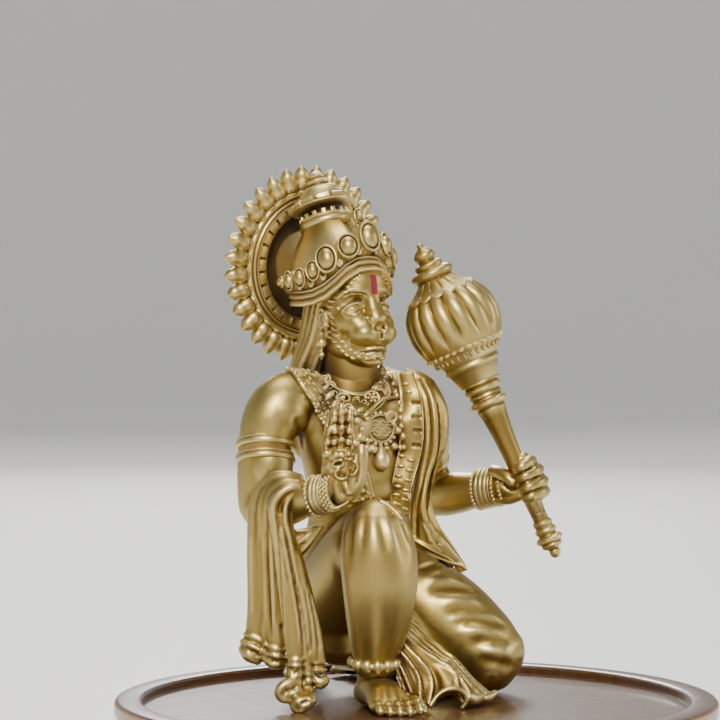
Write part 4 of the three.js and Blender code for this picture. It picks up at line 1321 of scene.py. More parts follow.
# Folds of the scarf that hangs from the forearm, each from the forearm down to its hem
scarfFolds = [
    [(300, 479, 1.4, 1, 1.2), (286, 476, 2, 1.2, 1.3), (273, 479, 1.4, 1.3, 1.4), (262, 489, 0.6, 1.3, 1.4),
     (256, 503, 0.4, 1.3, 1.4), (254, 522, 0.4, 1.3, 1.4), (256, 560, 0.6, 1.8, 1.4),
      (258, 600, 0.6, 2.1, 1.4),
     (257, 636, 0.8, 2.2, 1.3)],
    [(296, 479, 2, 0.8, 1), (282, 480, 2.4, 0.9, 1.2), (270, 488, 2, 1, 1.2), (263, 502, 1.8, 1, 1.2),
     (262, 524, 1.6, 1.1, 1.2), (264, 570, 1.5, 1.2, 1.2), (266, 610, 1.6, 1.3, 1.2),
      (267, 642, 1.6, 1.3, 1.1)],
    [(299, 483, 3.2, 0.8, 1.2), (286, 483, 3.6, 1, 1.3), (275, 490, 3.2, 1.1, 1.4), (270, 502, 2.8, 1.2, 1.4),
     (270, 522, 2.2, 1.4, 1.4), (273, 560, 2.2, 1.6, 1.4), (276, 600, 2.2, 1.8, 1.4),
      (277, 644, 2.3, 1.9, 1.4)],
    [(282, 494, 3.6, 1.2, 1.2), (281, 512, 3.2, 1.1, 1.2), (281, 540, 2.4, 1.1, 1.2),
     (284, 600, 1.6, 1.1, 1.2), (288, 646, 1.6, 1.1, 1.2)],
    [(299, 487, 4.4, 0.7, 1), (290, 488, 4.9, 0.9, 1.1), (280, 494, 5, 1, 1.2), (273, 505, 4.9, 1, 1.3),
     (275, 524, 4.8, 1.1, 1.3), (281, 550, 4.8, 1.4, 1.4), (288, 590, 5, 1.8, 1.4), (294, 630, 5.3, 2.1, 1.4),
     (296, 660, 5.5, 1.7, 1.3)],
    [(295, 492, 4.5, 0.5, 0.9), (287, 502, 4.8, 0.6, 1), (285, 516, 4.8, 0.6, 1), (288, 535, 4.8, 0.7, 1),
     (294, 562, 4.8, 0.7, 1.1), (301, 600, 5, 0.8, 1.1), (306, 636, 5.2, 0.8, 1.1), (308, 668, 5.5, 0.8, 1)],
    [(292, 545, 4.4, 0.5, 0.9), (300, 566, 4.6, 0.7, 1), (307, 600, 4.8, 0.75, 1.1), (313, 636, 5, 0.8, 1.1),
     (314, 664, 5.2, 0.8, 1)],
    [(298, 548, 3.6, 0.5, 0.9), (304, 572, 4.1, 0.6, 1), (311, 600, 4.4, 0.7, 1), (318, 634, 4.7, 0.9, 1),
     (321, 662, 5, 1, 1)],
    [(250, 640, 0.2, 0.6, 0.8), (258, 645, 0.6, 1.6, 0.9), (266, 650, 0.9, 1.6, 0.9),
     (276, 654, 1.2, 1.2, 0.9)],
    # the panels behind the folds
    [(270, 486, 0.2, 2.4, 1.2), (262, 520, -0.8, 2.6, 1.3), (265, 580, -0.8, 3.2, 1.4),
     (268, 640, -0.4, 4.2, 1.4)],
    [(284, 492, 2.6, 2, 1.2), (285, 530, 3.4, 1.8, 1.2), (297, 590, 3.6, 2.6, 1.3), (306, 655, 4, 3.6, 1.3)],
    # ridged bands of the hems
    [(245, 634, 0.9, 0.45, 0.6), (255, 638, 1.8, 0.5, 0.7), (266, 644, 1.9, 0.45, 0.6)],
    [(242, 641, 0.8, 0.5, 0.7), (252, 646, 2.1, 0.6, 0.8), (264, 652, 2.2, 0.5, 0.7)],
    [(266, 645, 2.7, 0.4, 0.6), (276, 649, 3.4, 0.5, 0.7), (286, 650, 2.6, 0.4, 0.6)],
    [(266, 653, 2.8, 0.4, 0.6), (276, 656, 3.6, 0.55, 0.7), (286, 657, 2.8, 0.4, 0.6)],
    [(286, 658, 5.6, 0.35, 0.6), (295, 660, 6.5, 0.4, 0.7), (304, 659, 6, 0.35, 0.6)],
    [(286, 664, 5.8, 0.35, 0.6), (295, 666, 6.8, 0.45, 0.7), (304, 665, 6.2, 0.35, 0.6)],
    [(304, 668, 6.2, 0.35, 0.5), (312, 669, 6, 0.35, 0.5)],
    [(304, 674, 6.3, 0.4, 0.5), (313, 675, 6.2, 0.4, 0.5)],
    [(305, 681, 6.4, 0.4, 0.5), (313, 682, 6.3, 0.4, 0.5)],
    [(314, 664, 5.9, 0.35, 0.5), (325, 663, 5.2, 0.35, 0.5)],
    [(314, 670, 6.1, 0.4, 0.6), (326, 670, 5.4, 0.4, 0.6)],
    # lobes below the bands
    [(242, 649, 0.6, 0.8, 0.9), (249, 655, 1.6, 1.3, 1.1), (258, 661, 1.4, 0.9, 0.9)],
    [(264, 657, 2.2, 0.8, 0.9), (274, 663, 2.8, 1.2, 1.1), (285, 662, 2.2, 0.9, 0.9)],
    [(287, 672, 5.8, 0.9, 0.9), (295, 675, 6.4, 1.3, 1.1), (303, 672, 5.8, 0.9, 0.9)],
    [(305, 688, 6, 0.7, 0.8), (311, 690, 6, 0.8, 0.8)],
    [(316, 680, 5.4, 1.1, 0.9), (321, 683, 5.6, 1.2, 1), (326, 679, 5.2, 0.9, 0.8)],
    # curled tips that trail onto the floor
    [(302, 684, 6.4, 0.6, 0.9), (292, 682, 7, 0.8, 1.1), (283, 686, 7.4, 1, 1.2), (279, 693, 7.6, 0.9, 1.2),
     (283, 699, 7.8, 0.8, 1), (293, 701, 7.8, 0.4, 0.8)],
    [(290, 690, 6.2, 0.9, 0.9), (300, 690, 6.2, 0.9, 0.9)],
    [(306, 694, 7, 0.7, 0.9), (298, 699, 7.8, 0.8, 1), (294, 706, 8.4, 0.8, 1), (297, 710, 8.6, 0.7, 0.9),
     (306, 708, 8.6, 0.7, 0.9), (313, 701, 8, 0.7, 0.9), (312, 696, 7.2, 0.5, 0.8)],
    # the curled tips are closed behind
    [(284, 691, 7.4, 1.3, 1), (291, 692, 7.8, 1.4, 1), (299, 693, 7.2, 1.2, 1)],
    [(297, 702, 8.6, 1.1, 1), (303, 703, 8.8, 1.2, 1), (309, 701, 8.4, 1, 1)],
    # the fan of cloth between forearm and thigh
    [(294, 545, 0.2, 2.9, 0.6), (304, 539, 0.1, 2.1, 0.6), (313, 533, 0, 1.2, 0.6),
     (323, 526, -0.2, 0.3, 0.5)],
    [(295, 559, 0.7, 0.35, 0.5), (309, 543, 0.6, 0.5, 0.5), (322, 527, 0.2, 0.3, 0.4)],
    [(295, 531, 0.5, 0.35, 0.5), (309, 529, 0.4, 0.4, 0.5), (322, 525, 0.1, 0.3, 0.4)],
    [(295, 546, 0.7, 0.35, 0.5), (308, 536, 0.6, 0.4, 0.5), (321, 526, 0.2, 0.25, 0.4)],
]
scarfStrokes = [  # fine lines along the folds: path, width, height
    ([(250, 530), (251, 570), (252, 620)], 0.35, 0.22), ([(259, 530), (261, 570), (262, 630)], 0.4, -0.22),
    ([(267, 505), (266, 540), (268, 590), (271, 640)], 0.45, -0.5),
     ([(279, 520), (279, 560), (283, 640)], 0.4, -0.35),
    ([(270, 530), (272, 570), (274, 630)], 0.4, 0.25),
     ([(279, 520), (287, 556), (296, 606), (302, 652)], 0.35, 0.4),
    ([(283, 522), (290, 560), (299, 610), (304, 655)], 0.3, -0.5),
     ([(297, 580), (304, 620), (309, 660)], 0.25, -0.4),
    ([(304, 584), (310, 620), (311, 655)], 0.25, -0.4), ([(309, 590), (316, 626), (319, 655)], 0.25, -0.3),
    ([(277, 500), (277, 516), (282, 545), (289, 590)], 0.3, -0.25),
     ([(258, 660), (262, 650), (266, 641)], 0.3, 0.5),
    ([(250, 652), (254, 651), (256, 654)], 0.25, -0.4), ([(270, 664), (274, 661), (279, 663)], 0.25, -0.45),
    ([(292, 674), (298, 672), (301, 675)], 0.25, -0.4), ([(303, 660), (304, 676), (303, 690)], 0.3, -0.6),
    ([(313, 662), (313, 676), (314, 690)], 0.3, -0.6), ([(286, 656), (286, 668), (286, 678)], 0.3, -0.5),
    ([(316, 676), (322, 675), (326, 673)], 0.25, -0.4), ([(284, 692), (290, 690), (297, 687)], 0.4, -0.6),
    ([(300, 704), (306, 702), (310, 700)], 0.4, -0.6),
]


def sculptScarf():
    thing = modelled("armScarf",
        [drawn(stations, rings=60 if len(stations) > 3 else 24) for stations in scarfFolds],
        scarfSettings["voxel"], scarfSettings["smoothing"])
    cloth = Sculpture(thing)
    for path, width, height in scarfStrokes:
        cloth.stroke(path, width, height, ends=0.15)
    for k in range(7):  # the side away from the camera
        x = -25 + 1.3 * k
        cloth.stroke([(x, 19, 36), (x - 0.2, 19, 24), (x - 0.6, 19, 8)], 0.45, -0.5, ends=0.15)
    return cloth.done()


armScarf = sculptScarf()
print("scarf", len(armScarf.data.vertices))


apronRows = [
    [(405, 610, 1), (407, 611, 0.6), (409, 613, 0), (411, 615, -0.6), (413, 617, -1.2), (415, 619, -1.8),
    (417, 620, -2.4)], [(398, 640, 2.6), (404, 640, 2.4), (409, 640, 1.6), (414, 640, 0.6), (420, 640, -0.6),
    (427, 640, -1.6), (434, 640, -2.6)], [(396, 661, 4.2), (407, 661, 4.4), (418, 661, 3.8), (428, 661, 2.4),
    (438, 661, 1.2), (448, 660, -0.6), (457, 659, -2.4)],
    [(400, 682, 5.6), (412, 683, 5.9), (424, 684, 5.5), (436, 683, 3.9), (449, 682, 3.7), (462, 680, 1.2),
    (474, 678, -2)], [(409, 698, 6.4), (419, 703, 6.9), (429, 704, 6.7), (438, 694, 4.7), (453, 689, 4.7),
    (469, 694, 3.2), (490, 692, -2.6)], [(411, 706, 6.4), (421, 709, 7), (430, 709, 6.8), (438, 700, 4.1),
    (453, 695, 3.8), (468, 704, 4), (494, 698, -2.6)],
]
apronLines = [  # path, height along it, width in pixels
    ([(408, 618), (430, 639), (450, 657), (470, 680), (487, 697)], (0.3, 0.5, 0.8), 1.3),
    ([(405, 624), (425, 642), (445, 658), (462, 676), (479, 696)], (0.25, 0.45, 0.7), 1.2),
    ([(404, 629), (422, 645), (440, 659), (455, 673), (468, 693)], (0.25, 0.45, 0.7), 1.2),
    ([(403, 633), (420, 648), (437, 661), (451, 673), (458, 690)], (0.4, 0.6, 0.6), 1.5),
    ([(403, 638), (418, 653), (432, 668), (437, 685), (434, 702)], (-0.5, -1, -0.7), 4.5),
    ([(403, 642), (415, 656), (426, 672), (430, 686), (428, 704)], (0.6, 1.1, 0.9), 2.2),
    ([(401, 646), (412, 660), (422, 676), (425, 690), (424, 704)], (-0.2, -0.3, -0.3), 1.5),
    ([(400, 651), (409, 662), (418, 678), (420, 700)], (0.4, 0.7, 0.6), 1.9),
    ([(399, 656), (406, 668), (413, 684), (416, 700)], (-0.2, -0.35, -0.3), 1.5),
    ([(398, 662), (404, 674), (411, 692)], (0.4, 0.6, 0.5), 1.8),
    ([(399, 668), (404, 680), (409, 692)], -0.45, 1.4), ([(399, 674), (405, 690)], 0.5, 1.6),
    ([(446, 664), (453, 680)], 0.5, 5.0),
]


def apronForms():
    return [latticeSheet("apronPanel", apronRows, 104, 104, 1.0, drawnRelief(apronLines)),
        sweep([(5.4, 13, 18, 2.4, 2), (6.6, 8.6, 12.6, 3.8, 1.8), (8.6, 5.6, 6, 6.4, 1.8),
        (9.6, 4.4, 2, 8.4, 1.4)], across=(0.95, 0.32, 0)),
        drawn([(430, 706, 6.6, 0.5, 0.8), (437, 696, 6, 0.5, 0.8), (446, 690, 5.6, 0.55, 0.9),
        (456, 689, 5.2, 0.55, 0.9), (464, 693, 4.8, 0.55, 0.9), (466, 701, 4.8, 0.5, 0.8),
        (462, 708, 5, 0.4, 0.7)], rings=60), drawn([(468, 697, 4.6, 0.9, 1), (474, 699, 3.4, 1.1, 1),
        (480, 697, 1.6, 0.8, 0.9)]), drawn([(482, 698, 0.4, 0.7, 0.8), (488, 697, -1.2, 0.9, 0.9),
        (495, 693, -2.6, 0.6, 0.7)])]


apron = makeObject("pleatedApron", apronForms())
print("apron", len(apron.data.vertices))


# Flat cloth band with a corded edge at each side
def bandShape(angle, width, depth, t):
    across = np.sign(np.cos(angle)) * np.abs(np.cos(angle)) ** 0.55
    cords = 0.55 * np.exp(-((np.abs(across) - 0.86) / 0.1) ** 2) + 0.3 * np.exp(-((np.abs(across)
        - 0.55) / 0.07) ** 2)
    return width * across, depth * np.sin(angle) * (1 + cords)


stoleSettings = {"lift": 0.35, "depth": 0.42}
rightBand = onSurface(bodyTree, [(289, 366), (297, 373), (306, 383), (315, 394), (324, 405), (333, 417),
    (340, 429)])
leftEdges = [  # pixels of its inner and outer edge, and how near the outer edge is
    ((397, 372), (413, 371, -15.4)), ((400, 390), (419, 389, -13.3)), ((401, 405), (422, 404, -12.6)),
    ((401, 420), (423, 420, -12.1)), ((400, 436), (423, 437, -11.8)), ((399, 450), (421, 452, -11.5)),
    ((396, 466), (417, 467, -11.2)), ((393, 480), (413, 481, -10.7)), ((391, 495), (410, 496, -10.2)),
    ((392, 514), (410, 514, -9.6)),
]
rightPath = [(-1, 30.2, 60.2), (-6, 29, 61.4), (-9.6, 25.4, 60.8),
    (-9.9, 21, 59.4)] + rightBand + [(-4.6, 11.4, 43), (-3.4, 11.2, 38)]
foldRows = [
    [(405, 368, -16), (415, 370, -15.4), (425, 374, -16), (434, 380, -18)],
    [(418, 390, -13.6), (426, 392, -12.8), (435, 394, -13.6), (444, 398, -16.6)],
    [(422, 415, -12.6), (430, 415, -11.6), (439, 416, -12.2), (449, 418, -15.4)],
    [(422, 438, -12.2), (430, 438, -11), (439, 439, -11.6), (448, 440, -14.8)],
    [(419, 458, -11.8), (427, 459, -10.6), (435, 460, -11.2), (441, 460, -13.8)],
    [(415, 480, -11.2), (422, 480, -10), (428, 480, -10.4), (433, 479, -12.6)],
    [(411, 505, -10.4), (419, 505, -9.2), (426, 505, -9.4), (432, 504, -11.6)],
    [(410, 528, -9.6), (420, 529, -8.6), (431, 529, -8.8), (440, 526, -11.2)],
    [(410, 541, -9.2), (425, 546, -8.4), (440, 548, -8.8), (453, 545, -11.4)],
    [(412, 547, -9), (431, 556, -8.6), (450, 563, -9.2), (468, 570, -12)],
]
foldLines = [  # path, height along it, width in pixels
    ([(418, 378), (426, 398), (429, 425), (429, 450), (422, 480), (416, 510), (416, 535)],
     (-0.3, -0.6, -0.5, -0.4, -0.3), 2.4),
    ([(424, 380), (432, 398), (435, 425), (434, 455), (427, 480), (423, 510), (430, 540)],
     (0.3, 0.5, 0.5, 0.4, 0.4), 3.0),
    ([(430, 384), (438, 402), (441, 425), (439, 450), (431, 478), (428, 505), (440, 542)],
     (-0.2, -0.4, -0.4, -0.4, -0.4), 2.2),
    ([(434, 388), (444, 406), (446, 425), (444, 448)], (0.2, 0.4, 0.3), 2.2),
    ([(414, 540), (432, 550), (448, 558), (462, 567)], (0.3, 0.4, 0.4, 0.2), 1.8),
    ([(430, 524), (445, 544), (462, 564)], (0.3, 0.5, 0.4), 2.4),
     ([(424, 522), (438, 542), (455, 560)], (-0.2, -0.5, -0.3), 2.2),
]


def stoleForms():
    flat = {"shape": bandShape, "sides": 48, "soften": 10, "lift": stoleSettings["lift"]}
    forms = strip(bodyTree, rightPath, (2.2, 2.2, 2.2, 2.15, 2.1, 2, 1.9), stoleSettings["depth"], **flat)
    rows = []
    for inner, outer in leftEdges:
        start = np.array(onSurface(bodyTree, [inner])[0]) + towardCamera * 0.45
        end = np.array(pixelPlace(*outer))
        start = start + towardCamera * max(0.0, np.dot(end - start, towardCamera) - 0.5)
        rows.append([tuple(start + (end - start) * part + towardCamera * rise) for part,
            rise in ((0, 0), (0.33, 0.35), (0.67, 0.4), (1, 0.1))])
    border = [
        ([inner for inner, _ in leftEdges], 0.22, 1.2), ([outer[:2] for _, outer in leftEdges], 0.25, 1.3),
    ]
    notches = [
        ([(x - 3, y), (x + 2, y + 0.3)], -0.4, 1.8) for x,
        y in ((416, 402), (417, 416), (418, 430), (416.5, 445))
    ]
    forms.append(latticeSheet("flatBand", rows, 50, 210, 1.1, drawnRelief(border + notches), places=True))
    return forms


# The plain folds over the shoulder of the mace arm, outside the band
def foldForms():
    bulk = sweep([(4, 30.6, 60, 2.4, 1.2), (8.6, 29, 61, 3, 1.4), (13, 25.4, 60, 3.4, 1.5),
        (16, 20, 57.4, 3.4, 1.4), (16.6, 17, 50, 3, 1.3), (15.2, 16.4, 42, 2.8, 1.3),
        (13.8, 16.4, 35, 2.8, 1.3), (14.4, 16, 29, 3.2, 1.3)], across=(1, 0.3, 0.2), rings=60, sides=32)
    return [latticeSheet("foldedPanel", foldRows, 56, 160, 2.0, drawnRelief(foldLines)), bulk]


stole = makeObject("shoulderStole", stoleForms())
foldedStole = makeObject("hangingFolds", foldForms())
print("stole", len(stole.data.vertices), len(foldedStole.data.vertices))


def torusForm(tube, around, sides=14):
    return primitive(bpy.ops.mesh.primitive_torus_add, major_segments=around, minor_segments=sides,
        major_radius=1.0, minor_radius=tube)


def hoop(centre, axis, radii, tube):
    points, corners, counts = torusForm(tube / radii[0], 72)
    points = points * [1, radii[1] / radii[0], 1] * radii[0]
    return standing((points, corners, counts), centre, np.array(centre, float) + axis)


def beadHoop(centre, axis, radii, count, form, phase=0.0):
    axes = frameAlong(centre, np.array(centre, float) + axis)
    places, frames = [], []
    for k in range(count):
        angle = 2 * pi * (k + phase) / count
        out = unit(cos(angle) * axes[:, 0] * radii[1] + sin(angle) * axes[:, 1] * radii[0])
        places.append(np.array(centre, float) + axes @ np.array([radii[0] * cos(angle), radii[1] * sin(angle),
            0]))
        frames.append(np.stack([np.cross(axes[:, 2], out), axes[:, 2], out], 1))
    return outward(scattered(form, places, frames, np.ones(count)))


def bead(across, along, high):
    return ball((0, 0, 0), (across, along, high), 10, 7)


def curlForm(twist=1):
    turns, thick, stations = 1.3, 0.2, []
    for k in range(14):
        part = k / 13
        angle, radius = twist * (turns * 2 * pi * part - 0.6), 1 - 0.74 * part
        stations.append((radius * cos(angle), radius * sin(angle), 0.1 * part, thick * (1 - 0.3 * part)))
    return sweep(stations, across=(0, 0, 1), sides=10, rings=44)


def flowerForm():
    petals = 6
    forms = [ball((0, 0, 0.12), (0.36, 0.36, 0.3), 12, 8)]
    for k in range(petals):
        angle = 2 * pi * k / petals
        forms.append(ball((0.66 * cos(angle), 0.66 * sin(angle), 0), (0.34, 0.26, 0.22), 10, 8,
            turn=(0, 0, np.degrees(angle))))
    return joined(forms)


def leafForm():
    return sweep([(0, -1, 0, 0.12, 0.1), (0, -0.3, 0.06, 0.42, 0.2), (0, 0.3, 0.06, 0.36, 0.2),
        (0, 1, 0, 0.06, 0.08)], sides=12, rings=16)


# Plate of the collar, drawn between its inner and outer edge on neck and chest
collarInner = [
    (315, 371), (322, 378), (331, 385), (341, 391), (352, 394.5), (362, 395), (371, 391), (377, 384),
    (381, 374),
]
collarOuter = [
    (321, 392), (327, 401), (333, 409), (342, 413), (352, 414), (362, 415.5), (371, 414), (380, 407),
    (390, 392),
]


def collarPlate():
    tree = surfaceTree([body, head])
    rows = []
    for part in (0, 0.33, 0.67, 1):
        pixels = [
            (a[0] + (b[0] - a[0]) * part, a[1] + (b[1] - a[1]) * part) for a,
            b in zip(collarInner, collarOuter)
        ]
        places = onSurface(tree, pixels)
        rows.append([tuple(np.array(place) + towardCamera * 0.1) for place in places])
    border = [(collarInner, 0.35, 1.6), (collarOuter, 0.4, 1.8)]
    return latticeSheet("collarPlate", rows, 120, 40, 1.0, lambda places: 0.35 + drawnRelief(border)(places),
        places=True)


collar = makeObject("collarPlate", [collarPlate()])
chestTree = surfaceTree([body, head, collar, stole])
medallionSettings = {
    "size": 1.18, "pixel": (379, 429), "normal": (-0.25, -0.95, 0.15), "radius": 2.25, "teeth": 18,
    "lift": 0.75,
}


def medallionForms():
    settings = medallionSettings
    centre = np.array(onSurface(surfaceTree([body]), [settings["pixel"]])[0])
    normal = unit(np.array(settings["normal"]))
    axes = tangentFrame(normal)
    centre = centre + normal * settings["lift"]
    disc = lathe(eased([(-1.3, 0), (-1.3, 2.1), (-0.2, 2.3), (0.1, 2.42), (0.35, 2.3), (0.42, 2.1),
        (0.35, 1.98), (0.2, 1.9), (0.15, 1.8), (0.3, 0)], 1), 64)
    tooth = blockForm((0.26, 0.3, 0.32), 0.08)
    forms = [disc]
    for k in range(settings["teeth"]):
        forms.append(roundAxis(moved(tooth, (0, 2.5, -0.1)), 2 * pi * k / settings["teeth"]))
    for k in range(5):  # wavy lines across the disc
        y = 1.1 - 0.55 * k
        reach = sqrt(max(0.2, 1.75 ** 2 - y ** 2))
        line = [(reach * (2 * j / 8 - 1), y + 0.16 * sin(j * 1.7 + k * 2), 0.3, 0.12) for j in range(9)]
        forms.append(sweep(line, across=(0, 0, 1), sides=8, rings=40))
    return [outward(scattered(form, [centre], [axes], np.full(1, settings["size"]))) for form in forms]


chestPearls = [  # pixel, radius
    ((356, 421), 0.6), ((361, 429), 0.4), ((359, 437), 0.8), ((354, 443), 0.7), ((366, 440), 0.5),
     ((366, 448), 0.8), ((372, 449), 0.7),
    ((379, 449), 0.4), ((386, 448), 0.45), ((393, 446), 0.6), ((400, 447), 0.5), ((403, 436), 0.55),
     ((397, 431), 0.5),
    ((393, 424), 0.4), ((395, 393), 0.4), ((396, 397), 0.5), ((399, 404), 0.42), ((400, 411), 0.5),
     ((400, 418), 0.45),
    ((401, 426), 0.4), ((366, 419), 0.4), ((363, 491), 0.42), ((362, 499), 0.42), ((355, 413), 0.35),
    ((393, 385), 0.4), ((391, 378), 0.4), ((404, 447), 0.45),
]
bandDashes = [  # two rows of dashes down the lower half of the flat band: pixel and slant
    (402, 456, -6), (401, 466, -6), (399, 476, -8), (398, 486, -8), (396.5, 495, -8), (396, 504, -6),
     (396.5, 512, -4),
    (411, 460, -6), (409.5, 470, -6), (407.5, 480, -8), (405.5, 490, -8), (404.5, 500, -8), (404.5, 509, -6),
    (406, 384, 0), (409, 392, 0),
]


def chestForms():
    flower, leaf = flowerForm(), leafForm()
    curl, counterCurl = curlForm(), curlForm(twist=-1)
    forms = []

    def put(form, x, y, size, spin=0.0, lift=0.05):
        forms.extend(stamped(chestTree, (x, y), form,
            (size, size, size * 1.1) if np.size(size) == 1 else size, spin, lift))

    def line(path, width, lift=0.1, depth=None):
        forms.extend(strip(chestTree, onSurface(chestTree, path), width, depth or width, lift=lift, sides=10,
            step=0.25, soften=2))

    for k, (x, y) in enumerate(((319, 380), (324, 387), (329, 395), (335, 403))):
        put(leaf, x + 1, y, 1.3, -52 + 6 * k)
        put(curl if k % 2 else counterCurl, x + 6.5, y - 1.5, 0.95, 30 * k)
    put(counterCurl, 344, 399.5, 1.45, 150, 0.2)
    put(curl, 348, 408.5, 0.95, 20)
    put(curl, 357, 401, 0.9, 100)
    put(counterCurl, 364.5, 402.5, 0.8, -40)
    put(leaf, 353, 409, 0.9, 60)
    put(leaf, 360, 410, 0.9, -50)
    put(flower, 372, 398, 1.2, 10, 0.2)
    put(torusForm(0.2, 32, 10), 372, 398, 1.35, 0, 0.1)
    for radius in (8.4, 6, 3.6, 1.4):
        line(ringLine((382, 391), (radius * 0.85, radius), -175, 55, 16), 0.24, 0.2)
    line([(362, 417), (366, 414), (374, 407), (381, 401), (388, 398), (394, 399)], 0.34, 0.25)
    line([(316, 371), (323, 378), (332, 385), (342, 391), (353, 394.5), (362, 395), (371, 391), (377, 384)],
        0.26, 0.15)
    # flowers, notches and dashes down the broad band, outer edge first
    lift = stoleSettings["lift"] + stoleSettings["depth"]
    forms.append(alongStrip(bodyTree, rightPath, bead(0.4, 0.52, 0.34), 1.3, 1.0, lift=lift - 0.1,
        shift=1.95))
    forms.append(alongStrip(bodyTree, rightPath, bead(0.5, 0.24, 0.3), 1.3, 1.0, lift=lift, shift=1.3,
        start=0.5))
    forms.append(alongStrip(bodyTree, rightPath, flower, 1.7, 0.62, lift=lift + 0.02, shift=0.3))
    forms.append(alongStrip(bodyTree, rightPath, bead(0.22, 0.5, 0.2), 1.7, 1.0, lift=lift, shift=-0.75,
        start=0.5))
    for (x, y), radius in chestPearls:
        radius = radius * 1.3
        put(sphereForm(14, 10), x, y, (radius, radius, radius), 0, radius * 0.6)
    for x, y, spin in bandDashes:
        put(bead(0.82, 0.36, 0.4), x, y, (1, 1, 1), spin, 0.15)
    put(torusForm(0.22, 32, 10), 391, 417, 0.95, 0, 0.3)
    # drop below the medallion
    put(sweep([(0, 1.9, 0, 0.3, 0.3), (0, 1.3, 0.1, 0.55, 0.5), (0, 0.3, 0.2, 0.95, 0.85),
        (0, -0.8, 0.2, 0.9, 0.8), (0, -1.6, 0.1, 0.35, 0.4)], sides=24), 380.5, 460, (1.6, 1.25, 1.5), 0, 0.6)
    put(torusForm(0.26, 32, 10), 380.5, 451, 0.6, 0, 0.5)
    # chain round the belly
    line([(352, 503), (360, 500), (370, 499), (380, 500.5), (388, 503)], 0.22, 0.12)
    line([(380, 502), (388, 506), (395, 512), (401, 520)], 0.3, 0.15)
    return forms


def limbJewels():
    forms = []
    # armlets of the raised arm: a broad ridge under a thin one
    armAxis = unit(np.array([0.17, 0.24, 0.95]))
    band = lathe(eased([(-1.0, 0), (-1.0, 5.3), (-0.85, 5.62), (-0.35, 5.75), (0.1, 5.6), (0.2, 5.35),
        (0.35, 5.35), (0.5, 5.5), (0.8, 5.4), (0.95, 5.1), (0.95, 0)], 1), 96)
    for z in (48.2, 45.5):
        forms.append(standing(band, (-17.5, 23.6, z), np.array([-17.5, 23.6, z]) + armAxis))
    leftAxis = unit(np.array([2.6, 3.0, -6.0]))
    for part in (0.3, 0.72):
        centre = np.array([21.4, 25.6, 48]) + leftAxis * part * 6.4
        forms.append(standing((band[0] * [0.94, 0.94, 0.9], band[1], band[2]), centre, centre - leftAxis))
    # bangles of the raised forearm; they hang a little aslant
    axis = unit(np.array([0.07, -0.97, 0.22]) + 0.45 * cameraRight)

    def onForearm(y):
        return np.array([-17.95 + 0.15 * (10 - y), y, 38.7 + 0.22 * (10 - y)])

    forms.append(hoop(onForearm(7.4), axis, (3.4, 3.25), 0.34))
    forms.append(beadHoop(onForearm(7.4), axis, (3.65, 3.45), 26, bead(0.4, 0.38, 0.4)))
    for y, radius, tube in ((6.2, 3.4, 0.44), (5.25, 3.35, 0.46), (4.4, 3.25, 0.38)):
        forms.append(hoop(onForearm(y), axis, (radius, radius * 0.96), tube))
    for row, (y, radius) in enumerate(((3.7, 3.2), (3.05, 3.1), (2.45, 3.0))):
        forms.append(hoop(onForearm(y), axis, (radius - 0.15, radius - 0.15), 0.34))
        forms.append(beadHoop(onForearm(y), axis, (radius + 0.12, radius + 0.12), 24, bead(0.36, 0.34, 0.36),
            0.5 * (row % 2)))
    forms.append(drawn([(322, 496, 9.4, 0.2, 0.2), (326, 503, 9.8, 0.22, 0.22), (334, 508, 10, 0.22, 0.22),
        (342, 505.5, 9.8, 0.2, 0.2), (350, 500, 9.2, 0.18, 0.18)], rings=40, sides=10))
    # bangles of the arm that holds the mace
    start, end = np.array([27.2, 24.4, 36.9]), np.array([28.6, 12.8, 38.6])
    leftAxis = unit(unit(end - start) + 0.5 * cameraRight)

    def onLeft(y):
        return start + (end - start) * (start[1] - y) / (start[1] - end[1])

    for y, radius, tube in ((14.7, 3.6, 0.42), (13.6, 3.5, 0.44), (12.5, 3.45, 0.42), (11.7, 3.4, 0.26)):
        forms.append(hoop(onLeft(y), leftAxis, (radius, radius * 0.97), tube))
    for y, radius, size, count in ((15.9, 3.75, 0.38, 30), (10.8, 3.5, 0.34, 28), (9, 3.3, 0.36, 24)):
        forms.append(hoop(onLeft(y), leftAxis, (radius - 0.25, radius - 0.3), 0.3))
        forms.append(beadHoop(onLeft(y), leftAxis, (radius, radius * 0.97), count, bead(size, size, size)))
    # anklet of barrel beads, larger in front
    ankle, ankleAxis = np.array([-7.1, 3.0, 8.5]), unit(np.array([-0.07, -0.1, 1.0]))
    forms.append(hoop(ankle, ankleAxis, (4.5, 4.5), 0.7))
    axes = frameAlong(ankle, ankle + ankleAxis)
    for k in range(14):
        angle = 2 * pi * k / 14 + 0.1
        out = cos(angle) * axes[:, 0] + sin(angle) * axes[:, 1]
        front = max(0.0, -out[1] * 0.8 - out[0] * 0.6)
        size = 0.95 + 0.4 * front
        frames = [np.stack([np.cross(ankleAxis, out), ankleAxis, out], 1)]
        forms.append(outward(scattered(ball((0, 0, 0), (1.12, 0.95, 0.75), 16, 12), [ankle + out * 4.6],
            frames, [[1.0, size, size]])))
    back = np.array([17.2, 33.6, 4.0])
    forms.append(beadHoop(back, np.array([0, -1.0, 0.05]), (3.2, 3.2), 22, bead(0.5, 0.5, 0.45)))
    forms.append(hoop(back, np.array([0, -1.0, 0.05]), (3.0, 3.0), 0.4))
    return forms


